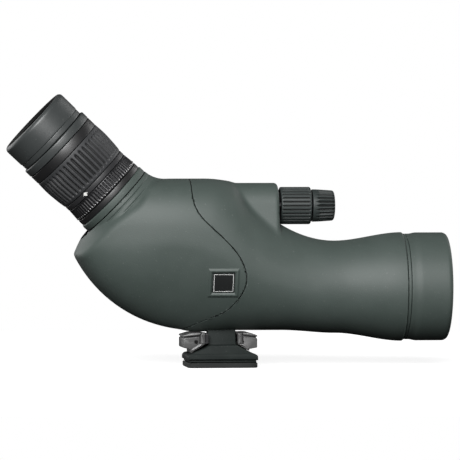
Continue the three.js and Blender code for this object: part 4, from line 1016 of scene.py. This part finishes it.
fine = turned("fine_knob_fluted", "focus", [
    (54.3, 7.35, 0), (54.3, 9.55, 0.5), (58.4, 9.5, 1.0), (67.4, 8.9, 1.6), (67.9, 0, 0), (65.6, 0, 0),
    (65.6, 7.35, 0)], FINE_FLUTES * 16, 0.45, 7.0)
fine_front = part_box("fine_grip")[1].x
for vertex in fine.data.vertices:
    vertex.co.x = min(vertex.co.x, fine_front)
fluted(fine, "focus", knob_rubber, FINE_FLUTES, 1.0, 1.1, 0.0, 55.4, 3.2, 80, 1, 0.95, 7.6)
fit(fine, knob_rubber, "fine_knob", "black_rubber", "fine_grip")

# ---------------------------------------------------------------- sunshade and objective
# A rubber-covered sunshade slides over the front cell. It steps out softly from a plain rear band to its
# rounded front rim, and is ridged and black inside. The cell holds the front lens behind a ridged retainer.
SHADE_BAFFLES = 12
bore = []
for k in range(SHADE_BAFFLES):
    at = 130.6 - k * 1.6
    bore += [(at, 29.75, 0.15), (at - 0.8, 29.95, 0.15)]
shade = turned("sunshade_tube", "scope", [
    (109.8, 29.8, 0), (109.8, 31.2, 0.4), (112.6, 31.2, 1.2), (115.4, 31.9, 1.4), (132.4, 31.9, 1.8),
    (134.2, 30.7, 1.1), (134.2, 29.0, 0.4), (132.6, 28.6, 0.3), (131.5, 29.7, 0.2)] + bore, 384, 1.5, 30.3)
shade.data.materials.append(armour_rubber)
shade.data.materials.append(matt_black)
for face in shade.data.polygons:
    middle = face.center / MM
    inside = math.hypot(middle.y, middle.z - OPTICAL_Z) < 30.1 and middle.x < 132.8
    face.material_index = 1 if inside else 0
fit(shade, armour_rubber, "sunshade", "armour", "sunshade")

stop_ring = turned("sunshade_stop_ring", "scope", [
    (107.85, 29.75, 0), (107.85, 31.2, 0.3), (109.5, 31.2, 0.3), (109.5, 29.75, 0)], 256)
fit(stop_ring, armour_rubber, "housing", "black_rubber", "sunshade_stop")

CELL_THREADS = 14
cell_bore = []
for k in range(CELL_THREADS):
    at = 130.4 - k * 0.95
    cell_bore += [(at, 25.55, 0.1), (at - 0.45, 26.0, 0.1)]
cell = turned("objective_cell_tube", "scope", [
    (97.8, 25.35, 0), (97.8, 29.4, 0.3), (131.0, 29.4, 0.4), (131.0, 25.7, 0.3)]
    + cell_bore + [(116.8, 25.3, 0)], 256)
fit(cell, matt_black, "housing", "black_metal", "objective_cell")
front_retainer = turned("objective_retainer_ring", "scope", [
    (114.0, 23.8, 0.2), (114.0, 25.2, 0), (116.5, 25.2, 0.2), (116.5, 24.4, 0.2), (115.9, 24.1, 0.1),
    (115.6, 24.3, 0.1), (115.1, 23.9, 0.1)], 256)
fit(front_retainer, matt_black, "housing", "black_metal", "objective_retainer")

# ---------------------------------------------------------------- foot
# A cast foot, painted the armour's green but much darker, as painted shade from the body above it:
# a bevelled plate under flared ends that rise into a square neck.
# A rubber pad is glued under it, set back by a thin dark gap, round the steel tripod socket.


def inset(outline, amount):
    """Moves a closed outline inward."""
    before = np.roll(outline, 1, axis=0)
    after = np.roll(outline, -1, axis=0)
    along_back = outline - before
    along_ahead = after - outline
    along_back /= np.maximum(np.linalg.norm(along_back, axis=1), 1e-9)[:, None]
    along_ahead /= np.maximum(np.linalg.norm(along_ahead, axis=1), 1e-9)[:, None]
    area = np.sum(before[:, 0] * outline[:, 1] - outline[:, 0] * before[:, 1])
    turn = 1 if area > 0 else -1
    normal = np.stack([-(along_back + along_ahead)[:, 1], (along_back + along_ahead)[:, 0]], 1) * turn
    normal /= np.maximum(np.linalg.norm(normal, axis=1), 1e-9)[:, None]
    return outline + normal * amount


def between_rows(rows, count, closed=False):
    """Quads between rows of count points, round each row and from each row to the next."""
    faces = []
    for row in range(rows if closed else rows - 1):
        here, there = row * count, (row + 1) % rows * count
        for k in range(count):
            n = (k + 1) % count
            faces.append((here + k, here + n, there + n, there + k))
    return faces


def slab(name, profile, half_width, rounding):
    """A block of one side outline across the scope, with its corners and its two side edges rounded."""
    outline = eased(profile)
    layers = [(rounding * share - half_width, amount)
              for share, amount in ((0, rounding), (0.3, rounding * 0.3), (1, 0))]
    layers += [(-y, out) for y, out in reversed(layers)]
    spots = [(a, y, b) for y, amount in layers for a, b in inset(outline, amount)]
    faces = between_rows(len(layers), len(outline))
    faces.append(tuple(range(len(outline))))
    faces.append(tuple(range(len(spots) - len(outline), len(spots)))[::-1])
    return faced_outward(as_object(name, spots, faces), cut_up=True)


def joined(name, pieces):
    """Several solids kept as one piece."""
    whole = bmesh.new()
    for piece in pieces:
        whole.from_mesh(piece.data)
        bpy.data.objects.remove(piece)
    made = as_object(name, [], [])
    whole.to_mesh(made.data)
    whole.free()
    made.data.shade_smooth()
    made.data.set_sharp_from_angle(angle=math.radians(35))
    return made


# The foot's colour is darkened well below the armour's: painted shade under the body.
foot_paint_and_shade = moulded("foot_paint_and_shade", (0.009, 0.0120, 0.0112), (0.015, 0.019, 0.018), 0.58, grain=1800.0,
                     grain_depth=0.03, specular=0.09, rubbed=(0.05, 0.06, 0.056))
FOOT_NECK_HALF = 6.8
FOOT_NECK_TOP_SHARE = 0.38
FOOT_NECK_TAPER_Z = 14
FOOT_NECK_TAPER = 7.5
foot_neck = slab("foot_neck", [
    (-9.4, 11.0, 0), (10.5, 11.0, 0), (10.3, 12.4, 0.5), (8.7, 13.6, 1.2), (8.7, 26, 0), (-7.6, 26, 0),
    (-7.6, 13.6, 1.2), (-9.2, 12.4, 0.5)], FOOT_NECK_HALF, 0.8)
for vertex in foot_neck.data.vertices:
    risen = min(max((vertex.co.z / MM - FOOT_NECK_TAPER_Z) / FOOT_NECK_TAPER, 0), 1)
    vertex.co.y *= lerp(1.0, FOOT_NECK_TOP_SHARE, risen)
foot_flare = slab("foot_flare", [
    (-18.6, 7.6, 0.3), (18.6, 7.6, 0.3), (17.7, 8.5, 0.6), (10.7, 12, 1.2), (8.7, 13.2, 0.8),
    (-7.6, 13.2, 0.8), (-9.6, 12, 1.2), (-17.7, 8.5, 0.6)], 17.2, 0.6)
foot_plate = slab("foot_plate", [
    (-20.6, 4.4, 0.4), (20.6, 4.4, 0.4), (20.6, 7.0, 1.0), (18.8, 8.2, 0.6), (-18.8, 8.2, 0.6),
    (-20.6, 7.0, 1.0)], 18.0, 0.7)
foot_step = slab("foot_step", [(-19.6, 3.2, 0.2), (19.6, 3.2, 0.2), (19.6, 5, 0), (-19.6, 5, 0)], 17.0, 0.3)
foot = joined("foot_casting", [foot_neck, foot_flare, foot_plate, foot_step])
fit(foot, foot_paint_and_shade, "housing", "foot_coating", "foot")

pad_rubber = moulded("pad_rubber", (0.013, 0.0145, 0.014), (0.02, 0.022, 0.021), 0.6, grain=2200.0,
                     grain_depth=0.03, specular=0.18, rubbed=0.05)
pad_low, pad_high = (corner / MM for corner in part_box("foot_pad"))


def holed_pad(name, hole_radius, segments=96, squareness=14.0, tread_depth=0.5, chamfer=1.2):
    """A rounded oblong pad with a round hole through its middle and square ridges under it."""
    angles = np.arange(segments) * 2 * math.pi / segments
    circle = np.stack([np.cos(angles), np.sin(angles)], 1)
    half = np.array([pad_high.x - pad_low.x, pad_high.y - pad_low.y]) / 2
    edge = circle * (np.abs(circle) ** squareness).sum(1)[:, None] ** (-1 / squareness) * half
    hole = circle * hole_radius
    low, tread, high = pad_low.z, pad_low.z + tread_depth, pad_high.z
    rows = [(hole, high), (edge * 0.985, high), (edge, high - 0.35), (edge, tread), (edge * 0.98, low)]
    for inner in (0.86, 0.66):
        rows += [(edge * inner, low), (edge * (inner - 0.02), tread), (edge * (inner - 0.06), tread),
                 (edge * (inner - 0.08), low)]
    rows += [(hole + circle * chamfer, low), (hole, tread)]
    spots = [(x, y, z) for ring, z in rows for x, y in ring]
    return faced_outward(as_object(name, spots, between_rows(len(rows), segments, closed=True)))


pad = holed_pad("foot_pad_rubber", 5.8)
fit(pad, pad_rubber, "housing", "black_rubber", "foot_pad")

steel = moulded("steel", (0.42, 0.42, 0.43), (0.55, 0.55, 0.56), 0.28, grain=1600.0, grain_depth=0.006,
                spread=0.15, metallic=1.0, rubbed=0.3)
socket_threads = []
for k in range(6):
    at = 0.9 + k * 1.27
    socket_threads += [(at, 3.35, 0.1), (at + 0.6, 2.75, 0.1)]
socket = turned("tripod_socket", "upright", [(0.3, 3.5, 0.2)] + socket_threads + [
    (8.5, 3.3, 0), (8.5, 5.5, 0.2), (0.3, 5.5, 0.4)], 96)
fit(socket, steel, "housing", "steel", "tripod_insert")

# ---------------------------------------------------------------- clamp jaws
# Two grey castings grip the foot's neck, one from each end. Each has a rounded rib next to the neck, a plain
# block with a slot along its top and a small pin hole, and a flange that leans on the foot's flared end.
cast_grey = moulded("cast_grey", 0.055, 0.13, 0.45, grain=1300.0,
                    grain_depth=0.11, spread=0.2, specular=0.5, metallic=0.3, rubbed=0.32,
                    rubbed_amount=0.3)
JAW_HALF_WIDTH = 13.0


JAW_TOP = 20.3
PIN_X = {-1: -15.4, 1: 11.6}
PIN_HEIGHT = 15.1
PIN_FACETS = 24
PIN_ROWS = ((1.15, 0.2), (0.95, 0.3), (0.85, 0.08))


def jaw(name, node, direction):
    """The jaw at one end of the foot, -1 for the rear and 1 for the front, with a near-black dome in each
    side that paints a pin hole's shade.
    """
    low, high = (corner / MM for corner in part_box(node))
    inner, outer = (high.x, low.x) if direction < 0 else (low.x, high.x)

    def cast(part, outline, half_width, rounding):
        corners = [(outer - direction * x, z, ease) for x, z, ease in outline]
        return slab(f"{name}_{part}", corners, half_width, rounding)

    length = abs(outer - inner)
    reach = length - (2.0 if direction < 0 else 0.0)
    # A near-black core under the casting shows in the slot and the gaps between its parts: painted shade.
    painted_shade_core = cast("painted_shade_core", [
        (0.6, 11.9, 0.2), (5.0, 11.0, 0.2), (length, 14.2, 0.2), (length, 19.8, 0.2), (5.4, 19.8, 0.2),
        (0.6, 18.4, 0.2)], JAW_HALF_WIDTH - 1.7, 0.3)
    fit(painted_shade_core, matt_black, "housing", "grey_casting", node)
    block = cast("block", [
        (0, 11.6, 0.5), (4.9, 10.7, 0.3), (reach - 3.4, 12.9, 0.3), (reach - 3.4, 18.1, 0.4),
        (0.0, 17.2, 0.5)], JAW_HALF_WIDTH - 0.7, 0.5)
    cap = cast("cap", [
        (0.0, 18.0, 0.2), (reach - 3.4, 19.0, 0.2), (reach - 2.6, JAW_TOP, 0.3), (5.0, JAW_TOP, 0.6),
        (0.0, 18.9, 0.4)], JAW_HALF_WIDTH - 0.3, 0.4)
    rib = cast("rib", [
        (reach - 3.2, 13.4, 0.6), (reach - 0.6, 13.0, 0.6), (reach, 14.4, 0.5), (reach, JAW_TOP, 0.5),
        (reach - 3.0, JAW_TOP, 0.9)], JAW_HALF_WIDTH, 1.2)
    flange = cast("flange", [
        (4.7, low.z + 0.1, 0.25), (reach - 2.0, 12.4, 0.3), (reach - 0.9, 13.6, 0.4),
        (reach - 3.4, 14.0, 0.5), (4.7, low.z + 2.2, 0.3)], JAW_HALF_WIDTH - 0.2, 0.6)
    fit(joined(name, [block, cap, rib, flange]), cast_grey, "housing", "grey_casting", node)
    # Each pin hole is drawn as a small near-black dome proud of the side: painted shade in the hole.
    for side, word in ((-1, "right"), (1, "left")):
        def on_pin(radius, proud, a):
            y = side * (JAW_HALF_WIDTH - 0.6 + proud)
            return (PIN_X[direction] + math.cos(a) * radius, y, PIN_HEIGHT + math.sin(a) * radius)

        turns = [k * 2 * math.pi / PIN_FACETS for k in range(PIN_FACETS)]
        spots = [on_pin(radius, proud, a) for radius, proud in PIN_ROWS for a in turns]
        spots += [on_pin(0, 0.08, 0), on_pin(0, -0.5, 0)]
        tip, root = len(spots) - 2, len(spots) - 1
        last_row = tip - PIN_FACETS
        faces = between_rows(len(PIN_ROWS), PIN_FACETS)
        faces += [(last_row + k, last_row + (k + 1) % PIN_FACETS, tip) for k in range(PIN_FACETS)]
        faces += [((k + 1) % PIN_FACETS, k, root) for k in range(PIN_FACETS)]
        pin_hole_shade = faced_outward(as_object(f"{name}_pin_{word}", spots, faces))
        fit(pin_hole_shade, painted_shade_black, "housing", "grey_casting", node)


jaw("clamp_jaw_rear_casting", "clamp_jaw_rear", -1)
jaw("clamp_jaw_front_casting", "clamp_jaw_front", 1)

# ---------------------------------------------------------------- badge
# A small dark enamelled plate let into the right side, with a thin bright raised border. Its face is blank.
badge_black = moulded("badge_black", (0.012, 0.013, 0.013), (0.018, 0.019, 0.019), 0.3, grain=2500.0,
                      grain_depth=0.006, specular=0.5, rubbed=0.05)
badge_silver = moulded("badge_silver", (0.62, 0.63, 0.62), (0.78, 0.79, 0.78), 0.38, grain=2500.0,
                       grain_depth=0.006, metallic=0.2)


PER_SIDE = 12


def badge_rings(rows):
    """Square rings laid on the skin under the badge. A row is (share of the half size, height)."""
    loop = []
    for k in range(4 * PER_SIDE):
        side, share = divmod(k, PER_SIDE)
        t = share / PER_SIDE * 2 - 1
        loop.append([(t, -1), (1, t), (-t, 1), (-1, -t)][side])
    rings = []
    for share, height in rows:
        ring = np.array([(BADGE_MIDDLE.x + u * BADGE_HALF.x * share, -BODY_HALF_WIDTH,
                          BADGE_MIDDLE.z + v * BADGE_HALF.z * share) for u, v in loop])
        for _ in range(8):
            ring[:, 1] -= body_depth(*ring.T) / slope_of(body_depth, ring)[:, 1]
        ring[:, 1] -= height
        rings.append(ring)
    return np.concatenate(rings)


plate_rows = [(0.995, -0.5), (0.995, -0.02)] + [(share, 0.0) for share in (0.97, 0.8, 0.6, 0.4, 0.2, 0.02)]
around = 4 * PER_SIDE
plate_faces = between_rows(len(plate_rows), around)
plate_faces.append(tuple((len(plate_rows) - 1) * around + k for k in range(around)))
plate_faces.append(tuple(range(around))[::-1])
badge = faced_outward(as_object("badge_face", badge_rings(plate_rows), plate_faces))
fit(badge, badge_black, "housing", "badge", "badge_plate")
border_rows = [(0.90, -0.02), (0.90, 0.10), (0.893, 0.13), (0.857, 0.13), (0.85, 0.10), (0.85, -0.02)]
border_faces = between_rows(len(border_rows), around, closed=True)
border = faced_outward(as_object("badge_border", badge_rings(border_rows), border_faces))
fit(border, badge_silver, "housing", "badge", "badge_plate")

# ---------------------------------------------------------------- inner parts
# The lenses, prism, focusing carriage, shafts and casings keep their machined shapes from the frame.
# They take the finish of what they are made from: coated glass, blackened metal, brass, steel or casting.


def coated_glass(name, tint, coating):
    """Optical glass with a thin coloured coating that shows at a slant."""
    finish, tree, shader = new_finish(name)
    slant = add_node(tree, "ShaderNodeLayerWeight", {"Blend": 0.35})
    marks = add_node(tree, "ShaderNodeGroup", node_tree=handling)
    bump = add_node(tree, "ShaderNodeBump", {
        "Strength": 0.05, "Distance": 0.002 * MM, "Height": marks["Dust"]})
    wire(tree, shader, {
        "Metallic": 0.0, "Transmission Weight": 1.0, "IOR": 1.5,
        "Base Color": mix_colour(tree, slant["Facing"], tint, coating),
        "Roughness": maths(tree, "MULTIPLY_ADD", marks["Rubbed"], 0.05, 0.015), "Normal": bump["Normal"]})
    return finish


lens_glass = coated_glass("lens_glass", (0.86, 0.93, 0.90), (0.30, 0.55, 0.45))
casting_grey = moulded("casting_grey", (0.10, 0.10, 0.105), (0.15, 0.15, 0.155), 0.5, grain=1200.0,
                       grain_depth=0.08, metallic=0.5)
brass = moulded("brass", (0.50, 0.34, 0.12), (0.62, 0.43, 0.17), 0.3, grain=1500.0, grain_depth=0.008,
                spread=0.15, metallic=1.0, rubbed=(0.35, 0.25, 0.1))
dark_steel = moulded("dark_steel", (0.03, 0.03, 0.032), (0.05, 0.05, 0.052), 0.5, grain=1600.0,
                     grain_depth=0.006, spread=0.15, metallic=1.0)
inner_finishes = {
    lens_glass: ("roof_prism", "objective_rear_lens", "objective_front_lens", "field_lens", "eye_lens",
                 "zoom_lens", "focusing_lens"),
    casting_grey: ("main_tube", "eyepiece_mount"),
    matt_black: ("bulkhead", "prism_cheek_left", "prism_cheek_right", "coarse_hub", "fine_hub",
                 "focus_carriage", "focus_retainer", "guide_ring", "objective_spacer", "eyepiece_barrel",
                 "field_stop", "zoom_cell", "shaft_bush_front"),
    brass: ("shaft_bush_rear", "zoom_sleeve"),
    dark_steel: ("coarse_shaft", "fine_spindle"),
    steel: ("guide_rod_left", "guide_rod_right", "foot_screw_rear", "foot_screw_front"),
}
for finish, names in inner_finishes.items():
    for name in names:
        for slot in nodes[name].material_slots:
            slot.material = finish

# The prism housing is a thin casting that lies just under the skins and follows them.
# It is drawn anew from their form, a step deeper, and cut off where it meets the main tube.
CASING_ROOM = 1.9
CASING_WALL = 1.6
CASING_STEP = 2.2


def casing_depth(x, y, z):
    return trunk_depth(x, y, z) + CASING_ROOM


casing_points, casing_quads = skin_of(casing_depth, (-97, 0, 12), (110.5, 35, 113.5), CASING_STEP)
casing_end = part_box("prism_housing")[1].x / MM
casing_spots, casing_faces = sliced(casing_points, casing_quads, [((casing_end, 0, 0), (1, 0, 0))], END_SNAP)
casing_normals = outward_of(casing_depth, casing_spots)
casing = as_object("prism_housing_casting",
                   *walled(casing_spots, casing_faces, casing_normals, CASING_WALL, EDGE_ROLL))
fit(casing, casting_grey, "housing", "casting", "prism_housing")
